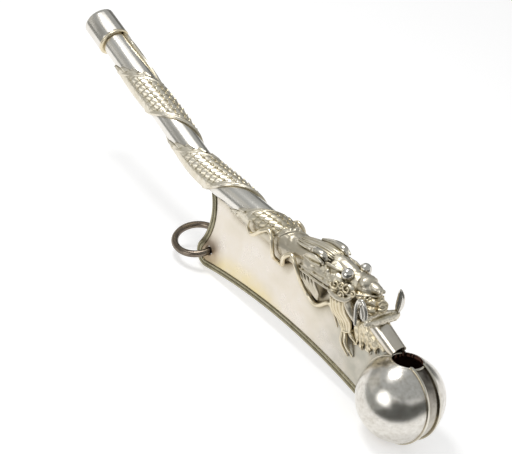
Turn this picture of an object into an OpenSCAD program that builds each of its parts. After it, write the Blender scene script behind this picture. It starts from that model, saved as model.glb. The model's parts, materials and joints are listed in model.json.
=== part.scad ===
// Boatswain's call in silver: gun tube, keel, buoy, shackle ring and an applied dragon.
// Lengths are in millimetres and angles in degrees.
// +X runs from the mouth to the buoy, +Z from the keel up to the gun, Y across the keel plate.
// The origin is the middle of the bounding box's base, where the buoy touches the ground.

/* [Buoy] */
// Outer radius of the two buoy cups
buoy_r = 9.5; // [8:0.1:12]
// Sheet thickness of the cups
cup_wall = 0.8; // [0.5:0.1:1.2]
// Width of the channel between the cups
channel_w = 2.9; // [2.8:0.1:4]
// Depth of the channel below the cups' surface
channel_depth = 0.65; // [0.4:0.05:0.75]
// Sheet thickness of the band at the bottom of the channel
band_wall = 0.8; // [0.5:0.1:1.2]
// How far each cup's rim bead stands above its surface
rim_proud = 0.05; // [0:0.01:0.2]
// Width of the rim bead
rim_w = 0.6; // [0.3:0.1:1]
// Radius of the blow hole
hole_r = 3; // [2.4:0.1:3.4]
// Lean of the blow hole towards the mouth
hole_lean = 8; // [0:1:12]

/* [Gun] */
// Outer radius of the gun from the mouth to where it tapers
gun_r = 3.1; // [2.7:0.1:3.4]
// Wall of the gun
gun_wall = 0.5; // [0.3:0.1:0.8]
// Height of the gun's level stretch above the buoy's centre
gun_lift = 13; // [12.6:0.1:15]
// Length from the first bend to the mouth
mouth_len = 52; // [46:1:60]
// Upward slope of the mouth stretch
mouth_rise = 16; // [8:1:22]
// Centreline radius of the first bend
bend_r = 40; // [30:1:50]
// Length of the level stretch between the bends
level_len = 54; // [51:1:60]
// Length of the level stretch that keeps the full radius
full_len = 21; // [18:1:24]
// Outer radius at the second bend
neck_r = 2.3; // [2.1:0.1:2.6]
// Length from the second bend to the wind end
tip_len = 14; // [13.6:0.1:15]
// Downward slope of the wind end
tip_drop = 18; // [16:1:20]
// Centreline radius of the second bend
tip_bend_r = 12; // [8:1:16]
// Outer radius at the wind end
tip_r = 1.95; // [1.7:0.05:2.1]

/* [Ferrule] */
// Length of the mouth ferrule
ferrule_len = 8; // [6:0.5:9]
// Outer radius of the mouth ferrule
ferrule_r = 4; // [3.8:0.1:4.6]
// Chamfer at both ends of the ferrule
ferrule_chamfer = 0.25; // [0.1:0.05:0.4]

/* [Keel] */
// Thickness of the keel plate
keel_t = 1; // [0.8:0.1:1.2]
// Distance from the buoy's centre back to the waist of the keel's rear edge
keel_len = 66.1; // [63:0.1:68]
// Radius of the hollow rear edge
rear_arc_r = 13.4; // [12:0.1:16]
// Height of the rear edge's waist above the buoy's centre
rear_waist_z = 2.8; // [2:0.1:3.6]
// Radius of the rounded rear corner
corner_r = 3.5; // [3:0.1:4]
// Depth of the corner's centre below the buoy's centre
corner_drop = 5.3; // [4.8:0.1:5.8]
// Radius of the hollow bottom edge
bottom_arc_r = 150; // [130:1:180]
// Depth of the bottom edge's highest point below the buoy's centre
bottom_waist = 5.5; // [4.8:0.1:5.6]
// Width of the reeded moulding along the edges
moulding_w = 1.7; // [1.3:0.1:2]
// Height of the moulding on each face of the plate
moulding_t = 0.5; // [0.4:0.05:0.7]
// Width of the groove between the two reeds
groove_w = 0.3; // [0.2:0.05:0.4]
// Depth of the groove between the two reeds
groove_depth = 0.25; // [0.15:0.05:0.35]
// Distance from the buoy's centre back to the end of the bottom edge
keel_foot = 5.3; // [5:0.1:6]

/* [Shackle ring] */
// Centreline radius of the ring
ring_r = 5.25; // [5:0.05:6]
// Radius of the ring's wire
ring_wire_r = 0.75; // [0.6:0.05:0.85]
// Radial play of the ring's wire in its eye
eye_play = 0.5; // [0.4:0.05:0.6]
// Droop of the ring at rest
ring_dip = 2; // [0:1:12]
// Lean of the ring at rest, with its left side down
ring_lean = 19; // [0:1:22]
// Height of the eye above the corner's centre
eye_rise = 0.9; // [0.6:0.1:1.2]
// Distance of the eye ahead of the corner's centre
eye_ahead = 0.4; // [0.3:0.1:0.6]

/* [Dragon] */
// Advance of the coiled body along the gun for each turn
coil_pitch = 25.7; // [24:0.1:27]
// Length of gun that the coiled body covers at one angle
coil_w = 15.7; // [14:0.1:17]
// Distance from the mouth to the first full turn's upper edge
coil_start = 14; // [13:0.1:15]
// Thickness of the coiled body at its edges
coil_edge_t = 0.35; // [0.25:0.05:0.45]
// Thickness of the coiled body at its middle
coil_mid_t = 0.75; // [0.6:0.05:0.9]
// Length of a back fin along the gun
fin_len = 2.8; // [2:0.1:3.2]
// Offset of the head's middle plane towards the left side
head_side = 0.9; // [0.6:0.1:1.1]
// Half the distance between the eyes
eye_half = 2.6; // [2.4:0.1:2.8]
// Radius of an eye bead
eye_bead_r = 1.25; // [1.1:0.05:1.35]
// Half the length of the lower jaw
jaw_half = 4.5; // [4.2:0.1:4.8]
// Radius of the lower jaw
jaw_r = 0.85; // [0.75:0.05:0.95]
// Radius of the whisker wires
whisker_r = 0.55; // [0.4:0.05:0.65]
// Thickness of the flames
flame_t = 0.8; // [0.5:0.1:0.9]

/* [Fits] */
// Solder gap between pieces that are seated on each other
seat_gap = 0.05; // [0.03:0.01:0.06]

/* [Hidden] */
$fn = 64;

// Overshoot that keeps a cutter's faces off the faces it cuts
over = 1;
// Length by which each stretch of the gun runs into its bend
splice = 0.4;
// How much fuller the bends are than the stretches at their ends
bend_swell = 0.03;
// Side count of the cast lumps
lump_fn = 20;

// Buoy radii
rim_r = buoy_r + rim_proud;
band_r = buoy_r - channel_depth;
hole_half = asin(hole_r / buoy_r);

// Places along the gun, as [x, z] from the buoy's centre
tip_end = [-buoy_r * sin(hole_lean + hole_half), gun_lift - tip_len * sin(tip_drop)];
bend_b = [tip_end[0] - tip_len * cos(tip_drop), gun_lift];
bend_a = [bend_b[0] - level_len, gun_lift];
bend_a_back = bend_r * tan(mouth_rise / 2);
bend_b_back = tip_bend_r * tan(tip_drop / 2);
mouth_straight = mouth_len - bend_a_back;
bend_a_arc = bend_r * mouth_rise * PI / 180;
taper_x = bend_a[0] + full_len;
taper_end_x = bend_b[0] - bend_b_back;
mouth_end = bend_a + mouth_len * [-cos(mouth_rise), sin(mouth_rise)];

// Bounding box along X, and the buoy's centre in the part's frame
low_x = mouth_end[0] - ferrule_r * sin(mouth_rise);
buoy_x = -(low_x + rim_r) / 2;
buoy_z = rim_r;

// Keel outline: circles of the hollow edges and of the rounded corner
rear_c = [-keel_len - rear_arc_r, rear_waist_z];
corner_dz = rear_waist_z + corner_drop;
corner_c = [rear_c[0] + sqrt(pow(rear_arc_r + corner_r, 2) - pow(corner_dz, 2)), -corner_drop];
bottom_c_z = -bottom_waist - bottom_arc_r;
bottom_reach = sqrt(pow(bottom_arc_r + corner_r, 2) - pow(corner_c[1] - bottom_c_z, 2));
bottom_c = [corner_c[0] + bottom_reach, bottom_c_z];
face_y = keel_t / 2;

// The gun's underside as [x, z] points from the keel's rear to the wind end, with the solder gap
under_r = tip_bend_r - neck_r - bend_swell - seat_gap;
tip_under = tip_r + seat_gap;
gun_under = concat(
    [[taper_x, gun_lift - gun_r - bend_swell - seat_gap]],
    [for (a = [0 : tip_drop / 4 : tip_drop])
        [taper_end_x + under_r * sin(a), gun_lift - tip_bend_r + under_r * cos(a)]],
    [tip_end - tip_under * [sin(tip_drop), cos(tip_drop)]]);
// The shackle ring's eye in the keel
eye = corner_c + [eye_ahead, eye_rise];
eye_r = ring_wire_r + eye_play;

// Colours of the finishes
silver = [0.80, 0.79, 0.76];
worn_silver = [0.72, 0.69, 0.60];
tarnish = [0.38, 0.34, 0.30];

// Length along the gun's centreline from the mouth to the end of the first bend
function bend_end() = mouth_straight + bend_a_arc;
// Slope of the gun at a length s from the mouth
function gun_slope(s) = mouth_rise * (1 - min(1, max(0, (s - mouth_straight) / bend_a_arc)));
// Centreline point [x, z] at a length s from the mouth
function gun_at(s) =
    s <= mouth_straight ? mouth_end + s * [cos(mouth_rise), -sin(mouth_rise)]
    : s >= bend_end() ? [bend_a[0] + bend_a_back + s - bend_end(), gun_lift]
    : [bend_a[0] + bend_a_back - bend_r * sin(gun_slope(s)),
       gun_lift + bend_r * (1 - cos(gun_slope(s)))];
// Outer radius of the gun at a length s from the mouth
function gun_radius(s) =
    let (t = (gun_at(s)[0] - taper_x) / (taper_end_x - taper_x))
    gun_r + (neck_r - gun_r) * min(1, max(0, t));
// Point on the gun at length s, angle a from its top towards +Y, raised by h
function on_gun(s, a, h) =
    let (p = gun_at(s), b = gun_slope(s), r = gun_radius(s) + h)
    [p[0] + r * cos(a) * sin(b), r * sin(a), p[1] + r * cos(a) * cos(b)];

// The coil: turns are counted in degrees, and the first full turn starts at coil_turn_0
coil_turn_0 = 225;
coil_a_first = 20;
coil_a_last = 1150;
coil_step = 15;
coil_rows = 6;
coil_gap = 0.08;
tail_power = 5;
tail_span = 215;
// The neck of the head starts here, and the coil ends just before it
neck_x = bend_b[0] - 23.6;
neck_s = bend_end() + neck_x - bend_a[0] - bend_a_back;
tail_s = ferrule_len + 2 * seat_gap;
coil_turn_s = coil_pitch / 360;
function coil_up(a) = max(tail_s, coil_start + (a - coil_turn_0) * coil_turn_s);
function coil_tail(a) = (coil_start + coil_w - tail_s) * pow((coil_turn_0 - a) / tail_span, tail_power);
function coil_low(a) =
    a < coil_turn_0 ? coil_start + coil_w - coil_tail(a)
    : min(neck_s - seat_gap, coil_start + coil_w + (a - coil_turn_0) * coil_turn_s);
function coil_s(a, v) = coil_up(a) + v * (coil_low(a) - coil_up(a));
function coil_t(v) = coil_edge_t + (coil_mid_t - coil_edge_t) * sin(180 * v);

// Head places, as [x, y, z] from the second bend on the head's middle plane
function head_at(p) = [bend_b[0] + p[0], -head_side + p[1], gun_lift + p[2]];
jaw_x = 7.4;
jaw_z = 0.15;
eye_bead_at = [-2.8, eye_half, 5.7];

// Whisker route over the left face, as [x from the second bend, y, z from the gun]
whisker_route = [
    [-32.5, -4.9, 0.4], [-32.5, -4.8, -1.0], [-31.8, -4.4, -2.2], [-30.4, -4.6, -1.7], [-28.6, -4.9, 0.4],
    [-26.6, -4.6, 1.8], [-24.4, -4.9, 0.4], [-23.9, -4.1, -3.1], [-24.4, -2.0, -5.2], [-23.2, -1.4, -5.6],
    [-21.0, -3.6, -3.9], [-19.7, -5.3, -0.8], [-17.8, -5.4, 1.2], [-15.8, -5.4, 0.0], [-14.4, -4.1, -3.4],
    [-13.8, -1.6, -6.8], [-11.4, -1.15, -8.1], [-9.6, -1.15, -7.6], [-7.0, -1.4, -5.2], [-5.2, -1.15, -6.6],
    [-3.0, -1.15, -8.8]];
whisker_fn = 8;

// Everything is drawn from the buoy's centre and then set on the ground
module placed() {
    translate([buoy_x, 0, buoy_z]) children();
}

// A flat shape drawn as [x, z], given its thickness across Y
module across_y(t) {
    rotate([90, 0, 0]) linear_extrude(t, center = true) children();
}

// The gun's outer form, grown by g, or its bore with a negative g
module gun_form(g, run_out = 0) {
    // Mouth stretch
    translate([mouth_end[0], 0, mouth_end[1]]) rotate([0, 90 + mouth_rise, 0])
        translate([0, 0, -run_out]) cylinder(h = mouth_straight + run_out + splice, r = gun_r + g);
    // First bend
    translate([bend_a[0] + bend_a_back, 0, gun_lift + bend_r]) rotate([90, 0, 0])
        rotate([0, 0, -90 - mouth_rise]) rotate_extrude(angle = mouth_rise)
            translate([bend_r, 0]) circle(r = gun_r + bend_swell + g);
    // Level stretch
    translate([bend_a[0] + bend_a_back - splice, 0, gun_lift]) rotate([0, 90, 0])
        cylinder(h = taper_x - bend_a[0] - bend_a_back + 2 * splice, r = gun_r + g);
    // Taper
    translate([taper_x, 0, gun_lift]) rotate([0, 90, 0])
        cylinder(h = taper_end_x - taper_x + splice, r1 = gun_r + g, r2 = neck_r + g);
    // Second bend
    translate([taper_end_x, 0, gun_lift - tip_bend_r]) rotate([90, 0, 0])
        rotate([0, 0, 90 - tip_drop]) rotate_extrude(angle = tip_drop)
            translate([tip_bend_r, 0]) circle(r = neck_r + bend_swell + g);
    // Wind end
    translate([bend_b[0], 0, gun_lift]) rotate([0, 90 + tip_drop, 0]) translate([0, 0, bend_b_back - splice])
        cylinder(h = tip_len + run_out - bend_b_back + splice, r1 = neck_r + g, r2 = tip_r + g);
}

// The gun under the dragon's head, grown by two solder gaps, as two plain cones
module gun_seat() {
    g = 2 * seat_gap;
    r_bend = neck_r + bend_swell + g;
    translate([taper_x, 0, gun_lift]) rotate([0, 90, 0])
        cylinder(h = bend_b[0] - taper_x, r1 = gun_r + g, r2 = r_bend, $fn = lump_fn);
    translate([bend_b[0], 0, gun_lift]) rotate([0, 90 + tip_drop, 0]) translate([0, 0, -over])
        cylinder(h = tip_len + 2 * over, r1 = r_bend, r2 = tip_r + g, $fn = lump_fn);
}

// The slot that the keel plate takes up below the gun's middle
module keel_slot() {
    w = keel_t + 2 * seat_gap;
    rear_x = rear_c[0] + sqrt(pow(rear_arc_r, 2) - pow(gun_under[0][1] - rear_c[1], 2)) - seat_gap;
    translate([rear_x, -w / 2, 0]) cube([-rear_x, w, gun_lift]);
}

module gun_tube() {
    color(silver) placed() difference() {
        gun_form(0);
        gun_form(-gun_wall, over);
        rotate([90, 0, 0]) cylinder(h = 2 * buoy_r, r = rim_r + seat_gap, center = true);
    }
}

module mouth_ferrule() {
    r_in = gun_r + seat_gap;
    c = ferrule_chamfer;
    color(silver) placed() translate([mouth_end[0], 0, mouth_end[1]]) rotate([0, 90 + mouth_rise, 0])
        rotate_extrude() polygon([
            [r_in, 0], [ferrule_r - c, 0], [ferrule_r, c],
            [ferrule_r, ferrule_len - c], [ferrule_r - c, ferrule_len], [r_in, ferrule_len]]);
}

// Points on an arc from angle a to angle b
function arc(c, r, a, b, n) = [for (i = [0 : n]) let (t = a + (b - a) * i / n) c + r * [cos(t), sin(t)]];

// The keel's outline drawn in by inset, with its hidden sides pushed out by reach
module keel_outline(inset, reach = 0) {
    top_z = gun_under[0][1] + reach;
    rear_r = rear_arc_r + inset;
    bottom_r = bottom_arc_r + inset;
    to_rear = atan2(rear_c[1] - corner_c[1], rear_c[0] - corner_c[0]);
    to_bottom = atan2(bottom_c[1] - corner_c[1], bottom_c[0] - corner_c[0]);
    polygon(concat(
        arc(rear_c, rear_r, asin((top_z - rear_c[1]) / rear_r), to_rear - 180, 20),
        arc(corner_c, corner_r - inset, to_rear, to_bottom + 360, 28),
        arc(bottom_c, bottom_r, to_bottom + 180, acos((reach - keel_foot - bottom_c[0]) / bottom_r), 24),
        [[reach, 0]],
        [for (i = [len(gun_under) - 1 : -1 : 0]) gun_under[i] + [reach / 2, reach]]));
}

// A flat cutter for the buoy's band, which the keel is fitted round
module band_seat() {
    circle(r = band_r + seat_gap, $fn = 128);
}

module keel_plate() {
    color(silver) placed() across_y(keel_t) difference() {
        keel_outline(0);
        band_seat();
        translate(eye) circle(r = eye_r);
    }
}

// The reeded moulding on the side s of the plate, -1 left and 1 right
module keel_moulding(s) {
    reed_w = (moulding_w - groove_w) / 2;
    color(worn_silver) placed() difference() {
        translate([0, s * (face_y + seat_gap + moulding_t / 2), 0]) across_y(moulding_t) difference() {
            keel_outline(0);
            keel_outline(moulding_w, over);
            band_seat();
        }
        translate([0, s * (face_y + seat_gap + moulding_t), 0]) across_y(2 * groove_depth) difference() {
            keel_outline(reed_w, over);
            keel_outline(reed_w + groove_w, 2 * over);
        }
    }
}

module keel_moulding_left() { keel_moulding(-1); }
module keel_moulding_right() { keel_moulding(1); }

// The blow hole's cutter
module blow_hole() {
    rotate([0, -hole_lean, 0]) cylinder(h = 2 * buoy_r, r = hole_r);
}

// Half-section of a cup: x is the radius and y the distance out from the keel's plane
module cup_section() {
    difference() {
        union() {
            intersection() {
                circle(r = buoy_r, $fn = 128);
                translate([0, channel_w / 2]) square([buoy_r, buoy_r]);
            }
            translate([0, channel_w / 2]) square([rim_r, rim_w]);
        }
        circle(r = buoy_r - cup_wall, $fn = 128);
    }
}

module buoy_cup(s) {
    color(silver) placed() difference() {
        rotate([-s * 90, 0, 0]) rotate_extrude() cup_section();
        blow_hole();
    }
}

module buoy_cup_left() { buoy_cup(-1); }
module buoy_cup_right() { buoy_cup(1); }

module buoy_band() {
    color(worn_silver) placed() difference() {
        rotate([90, 0, 0]) cylinder(h = channel_w, r = band_r, center = true);
        rotate([90, 0, 0]) cylinder(h = channel_w + over, r = band_r - band_wall, center = true);
        blow_hole();
    }
}

module shackle_ring() {
    color(tarnish) placed() translate([eye[0], 0, eye[1]]) rotate([0, -ring_dip, 0]) rotate([ring_lean, 0, 0])
        translate([-ring_r, 0, 0]) rotate_extrude() translate([ring_r, 0]) circle(r = ring_wire_r);
}

// The dragon's body, a crowned strip wound round the gun from the ferrule to the neck
module dragon_coil() {
    turns = [for (a = [coil_a_first : coil_step : coil_a_last]) a];
    rows = [for (i = [0 : coil_rows]) i / coil_rows];
    ring_n = 2 * len(rows);
    points = [for (a = turns) each concat(
        [for (v = rows) on_gun(coil_s(a, v), a, coil_gap + coil_t(v))],
        [for (i = [coil_rows : -1 : 0]) on_gun(coil_s(a, rows[i]), a, coil_gap)])];
    sides = [for (k = [0 : len(turns) - 2], i = [0 : ring_n - 1])
        let (j = (i + 1) % ring_n, p = k * ring_n, q = p + ring_n)
        each [[p + i, p + j, q + j], [p + i, q + j, q + i]]];
    last = (len(turns) - 1) * ring_n;
    cap_a = [for (i = [0 : coil_rows - 1]) let (m = ring_n - 1 - i)
        each [[i, m, i + 1], [i + 1, m, m - 1]]];
    cap_b = [for (f = cap_a) [f[0] + last, f[2] + last, f[1] + last]];
    color(worn_silver) placed() difference() {
        polyhedron(points, concat(sides, cap_a, cap_b), convexity = 8);
        keel_slot();
    }
}

// Leaf-shaped fins in a row along the upper edge of each turn, with none at the gun's underside
module dragon_fins() {
    fin_first = 250;
    fin_step = 36;
    fin_last = 1010;
    fin_half = 11;
    fin_t = 0.6;
    fin_gap = coil_gap + seat_gap;
    color(worn_silver) placed()
    for (a = [fin_first : fin_step : fin_last]) if (abs(a % 360 - 180) > fin_step / 2) {
        root = coil_up(a) - 4 * seat_gap - fin_half * coil_turn_s;
        tip_s = max(root - fin_len, coil_low(a - fin_half - 360) + 4 * seat_gap);
        foot = [for (d = [-1, 0, 1]) on_gun(root + d * fin_half * coil_turn_s, a + d * fin_half, fin_gap)];
        top = [for (d = [-1, 0, 1])
            on_gun(root + d * fin_half * coil_turn_s, a + d * fin_half, fin_gap + fin_t)];
        tip = [for (h = [fin_gap, fin_gap + fin_t / 2]) on_gun(tip_s, a - fin_half, h)];
        polyhedron(concat(foot, top, tip), [
            [0, 1, 6], [1, 2, 6], [4, 3, 7], [5, 4, 7],
            [1, 0, 3], [1, 3, 4], [2, 1, 4], [2, 4, 5],
            [0, 6, 7], [0, 7, 3], [2, 5, 7], [2, 7, 6]]);
    }
}

// A ball of the cast head at a place on it
module lump(p, r) {
    translate(head_at(p)) sphere(r = r, $fn = lump_fn);
}

// A tapering run of balls joined one to the next: each entry is [place, radius]
module run(list) {
    for (i = [0 : len(list) - 2]) hull() {
        lump(list[i][0], list[i][1]);
        lump(list[i + 1][0], list[i + 1][1]);
    }
}

// The same place on the side s of the head, -1 left and 1 right
function on_side(p, s) = [p[0], s * p[1], p[2]];

// Skull, brow, cheeks and muzzle before anything is cut from them
module head_form() {
    skull = [-12, 0, 1.8];
    brow = [-6, 0, 2.6];
    cheek = [-3.5, 2.4, 1.9];
    muzzle = [0.2, 2.2, 3.7];
    nose = [1.3, 1.4, 4.8];
    snout = [4.7, 0, 5.0];
    neck_ring_r = gun_r + 0.9;
    hull() {
        translate([neck_x + seat_gap, -head_side / 2, gun_lift]) rotate([0, 90, 0])
            cylinder(h = over, r = neck_ring_r, $fn = lump_fn);
        lump(skull, 4);
    }
    hull() {
        lump(skull, 4);
        lump(brow, 4.3);
        for (s = [-1, 1]) lump(on_side(cheek, s), 2.7);
    }
    hull() {
        lump(brow, 4.0);
        for (s = [-1, 1]) {
            lump(on_side(cheek, s), 2.6);
            lump(on_side(muzzle, s), 2);
        }
    }
    hull() for (s = [-1, 1]) {
        lump(on_side(muzzle, s), 1.9);
        lump(on_side(nose, s), 1.6);
    }
    hull() {
        for (s = [-1, 1]) lump(on_side(nose, s), 1.5);
        lump(snout, 1.1);
    }
}

module eye_bead(s, g = 0) {
    lump(on_side(eye_bead_at, s), eye_bead_r + g);
}

module dragon_head() {
    color(worn_silver) placed() difference() {
        head_form();
        gun_seat();
        keel_slot();
        for (s = [-1, 1]) eye_bead(s, seat_gap);
    }
}

module dragon_eye(s) {
    color(silver) placed() eye_bead(s);
}

module dragon_eye_left() { dragon_eye(-1); }
module dragon_eye_right() { dragon_eye(1); }

module horn_form(s) {
    run([[on_side([-8.5, 2.0, 6.2], s), 1.1], [on_side([-12.5, 2.1, 6.0], s), 0.9],
         [on_side([-16.2, 2.2, 4.7], s), 0.45]]);
}

module dragon_horn(s) {
    color(silver) placed() difference() {
        horn_form(s);
        head_form();
    }
}

module dragon_horn_left() { dragon_horn(-1); }
module dragon_horn_right() { dragon_horn(1); }

module dragon_ear(s) {
    color(worn_silver) placed() difference() {
        run([[on_side([-9.2, 3.9, 4.6], s), 0.9], [on_side([-11.6, 4.1, 4.2], s), 1.0],
             [on_side([-14.2, 4.0, 3.0], s), 0.4]]);
        head_form();
        horn_form(s);
    }
}

module dragon_ear_left() { dragon_ear(-1); }
module dragon_ear_right() { dragon_ear(1); }

// Strands of hair that lie back between the horns
module dragon_mane() {
    color(worn_silver) placed() difference() {
        for (y = [-0.7, 0, 0.7])
            run([[[-7.5, y, 6.9], 0.45], [[-12, y, 6.0], 0.5], [[-16, y, 5.2], 0.45],
                 [[-20, 1.3 * y, 4.3], 0.3]]);
        head_form();
        for (s = [-1, 1]) horn_form(s);
    }
}

module dragon_tongue() {
    color(worn_silver) placed() difference() {
        run([[[0.2, 0, 2.2], 0.9], [[3.6, 0, 2.2], 0.9], [[6.4, 0, 3.2], 1.0], [[6.2, 0, 4.0], 0.6]]);
        head_form();
        gun_seat();
    }
}

module jaw_form() {
    hull() for (s = [-1, 1]) lump([jaw_x, s * jaw_half, jaw_z], jaw_r);
}

module dragon_jaw() {
    color(worn_silver) placed() difference() {
        jaw_form();
        gun_seat();
    }
}

// The left tusk hooks over and down beside the mouth, the right one stands up
module dragon_tusk_left() {
    color(silver) placed() difference() {
        run([[[jaw_x - 0.7, -jaw_half + 0.1, 1.1], 0.6], [[5.5, -jaw_half, 3.2], 0.6],
             [[4.0, -jaw_half, 3.9], 0.6], [[3.4, -jaw_half, 2.0], 0.55], [[4.4, -jaw_half, -1.8], 0.45]]);
        jaw_form();
        head_form();
    }
}

module dragon_tusk_right() {
    color(silver) placed() difference() {
        run([[[jaw_x - 0.3, jaw_half, 0.9], 0.75], [[jaw_x - 0.4, jaw_half + 0.2, 3.2], 0.65],
             [[jaw_x - 1.2, jaw_half - 0.1, 6.0], 0.2]]);
        jaw_form();
    }
}

// A round wire swept along points: a polyhedron of flat-sided rings
module wire(route, r) {
    n = len(route);
    function ahead(i) = route[min(n - 1, i + 1)] - route[max(0, i - 1)];
    function unit(v) = v / norm(v);
    points = [for (i = [0 : n - 1])
        let (t = unit(ahead(i)), u = unit(cross(t, [0, 1, 0.001])), w = cross(t, u))
        each [for (k = [0 : whisker_fn - 1])
            route[i] + r * (cos(360 * k / whisker_fn) * u + sin(360 * k / whisker_fn) * w)]];
    sides = [for (i = [0 : n - 2], k = [0 : whisker_fn - 1])
        let (j = (k + 1) % whisker_fn, p = i * whisker_fn, q = p + whisker_fn)
        each [[p + k, q + k, q + j], [p + k, q + j, p + j]]];
    cap_a = [[for (k = [0 : whisker_fn - 1]) k]];
    cap_b = [[for (k = [whisker_fn - 1 : -1 : 0]) (n - 1) * whisker_fn + k]];
    polyhedron(points, concat(sides, cap_a, cap_b), convexity = 8);
}

// Whisker wire that loops along the gun's flank and down over the keel
module whisker_form() {
    wire([for (p = whisker_route) [bend_b[0] + p[0], p[1], gun_lift + p[2]]], whisker_r);
}

module dragon_whisker(s) {
    color(silver) placed() mirror([0, s > 0 ? 1 : 0, 0]) whisker_form();
}

module dragon_whisker_left() { dragon_whisker(-1); }
module dragon_whisker_right() { dragon_whisker(1); }

// Places on the left face of the keel, as [x, out from the face, z] from the second bend
function face_at(p) = [bend_b[0] + p[0], -face_y - seat_gap - p[1], gun_lift + p[2]];

module face_run(list) {
    for (i = [0 : len(list) - 2]) hull() for (k = [0, 1])
        translate(face_at(list[i + k][0])) sphere(r = list[i + k][1], $fn = lump_fn);
}

module foreleg_form() {
    face_run([[[-6.9, 4.4, -0.6], 1.2], [[-5.0, 3.4, -3.0], 1.15], [[-2.6, 1.2, -5.6], 1.15],
              [[-0.2, 1.05, -7.6], 1.0]]);
}

module dragon_foreleg(s) {
    color(worn_silver) placed() difference() {
        mirror([0, s > 0 ? 1 : 0, 0]) foreleg_form();
        head_form();
        gun_seat();
    }
}

module dragon_foreleg_left() { dragon_foreleg(-1); }
module dragon_foreleg_right() { dragon_foreleg(1); }

module dragon_claws(s) {
    root_r = 0.55;
    tip_claw_r = 0.25;
    color(silver) placed() mirror([0, s > 0 ? 1 : 0, 0]) difference() {
        for (claw = [[[-0.9, -8.6], [1.8, -13.4]], [[-0.2, -8.4], [3.1, -12.7]], [[0.6, -7.8], [3.1, -9.2]]])
            face_run([[[claw[0][0], root_r, claw[0][1]], root_r],
                      [[claw[1][0], tip_claw_r, claw[1][1]], tip_claw_r]]);
        foreleg_form();
    }
}

module dragon_claws_left() { dragon_claws(-1); }
module dragon_claws_right() { dragon_claws(1); }

// Flame tongues between the claws and the buoy
module dragon_flames(s) {
    flame = [[3.9, -7.2], [4.2, -4.4], [8.4, -4.4], [9.2, -8.0],
             [7.8, -7.0], [7.2, -9.4], [6.0, -7.4], [5.0, -9.6]];
    color(worn_silver) placed() mirror([0, s > 0 ? 1 : 0, 0]) difference() {
        translate([bend_b[0], -face_y - seat_gap - flame_t / 2, gun_lift]) across_y(flame_t) polygon(flame);
        gun_seat();
        sphere(r = rim_r + seat_gap);
    }
}

module dragon_flames_left() { dragon_flames(-1); }
module dragon_flames_right() { dragon_flames(1); }

gun_tube();
mouth_ferrule();
keel_plate();
keel_moulding_left();
keel_moulding_right();
buoy_band();
buoy_cup_left();
buoy_cup_right();
shackle_ring();
dragon_coil();
dragon_fins();
dragon_head();
dragon_mane();
dragon_tongue();
dragon_jaw();
dragon_eye_left();
dragon_eye_right();
dragon_horn_left();
dragon_horn_right();
dragon_ear_left();
dragon_ear_right();
dragon_tusk_left();
dragon_tusk_right();
dragon_whisker_left();
dragon_whisker_right();
dragon_foreleg_left();
dragon_foreleg_right();
dragon_claws_left();
dragon_claws_right();
dragon_flames_left();
dragon_flames_right();
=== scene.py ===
# %% [markdown]
# # A silver boatswain's call
# A boatswain's call is a whistle of soldered silver. A bent tube, the gun, blows across a hole in a
# hollow ball, the buoy, and a plate, the keel, joins the two. On this one a cast dragon winds round the
# gun. The measured solids are loaded first, so that every dressed piece lands where its solid is.

# %% Load the frame
import json
import math

import bpy
import numpy as np
from mathutils import Matrix, Vector, noise

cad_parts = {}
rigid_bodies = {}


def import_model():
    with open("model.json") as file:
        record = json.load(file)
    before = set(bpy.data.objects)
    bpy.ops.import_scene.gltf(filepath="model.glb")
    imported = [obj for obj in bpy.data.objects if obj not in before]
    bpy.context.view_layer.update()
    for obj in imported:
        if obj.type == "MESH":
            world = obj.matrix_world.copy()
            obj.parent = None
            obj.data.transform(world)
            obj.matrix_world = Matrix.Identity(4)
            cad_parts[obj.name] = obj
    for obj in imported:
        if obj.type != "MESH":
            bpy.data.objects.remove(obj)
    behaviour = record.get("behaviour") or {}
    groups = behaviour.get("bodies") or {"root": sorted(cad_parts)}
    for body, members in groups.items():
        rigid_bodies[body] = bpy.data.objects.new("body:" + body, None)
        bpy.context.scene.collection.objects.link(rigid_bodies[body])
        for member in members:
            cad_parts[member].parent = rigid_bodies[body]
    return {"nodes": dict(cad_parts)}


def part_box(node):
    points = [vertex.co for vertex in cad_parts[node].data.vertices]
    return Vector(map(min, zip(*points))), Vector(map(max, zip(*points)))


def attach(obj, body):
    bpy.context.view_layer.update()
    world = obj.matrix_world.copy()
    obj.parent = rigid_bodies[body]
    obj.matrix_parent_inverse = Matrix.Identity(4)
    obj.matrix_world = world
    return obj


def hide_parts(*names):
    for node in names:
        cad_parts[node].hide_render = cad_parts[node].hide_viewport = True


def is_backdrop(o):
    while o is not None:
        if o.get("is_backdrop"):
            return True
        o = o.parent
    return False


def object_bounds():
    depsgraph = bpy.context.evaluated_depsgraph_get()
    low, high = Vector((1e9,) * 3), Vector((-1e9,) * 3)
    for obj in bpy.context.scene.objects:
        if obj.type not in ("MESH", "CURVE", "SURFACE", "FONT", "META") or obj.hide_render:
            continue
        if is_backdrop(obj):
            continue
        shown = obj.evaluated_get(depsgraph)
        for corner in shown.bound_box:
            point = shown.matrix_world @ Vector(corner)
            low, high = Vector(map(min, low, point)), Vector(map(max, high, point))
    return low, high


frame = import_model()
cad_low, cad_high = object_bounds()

MM = 0.001
scene = bpy.context.scene
print("solids measure, in mm:", [round((h - l) / MM, 1) for l, h in zip(cad_low, cad_high)])

# %% [markdown]
# ## Places
# All shapes below are worked out in millimetres from the buoy's centre, because the buoy is the one piece
# whose middle can be read off its solid. Left is the side that the photograph shows, and X runs from
# mouth to buoy.

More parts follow.
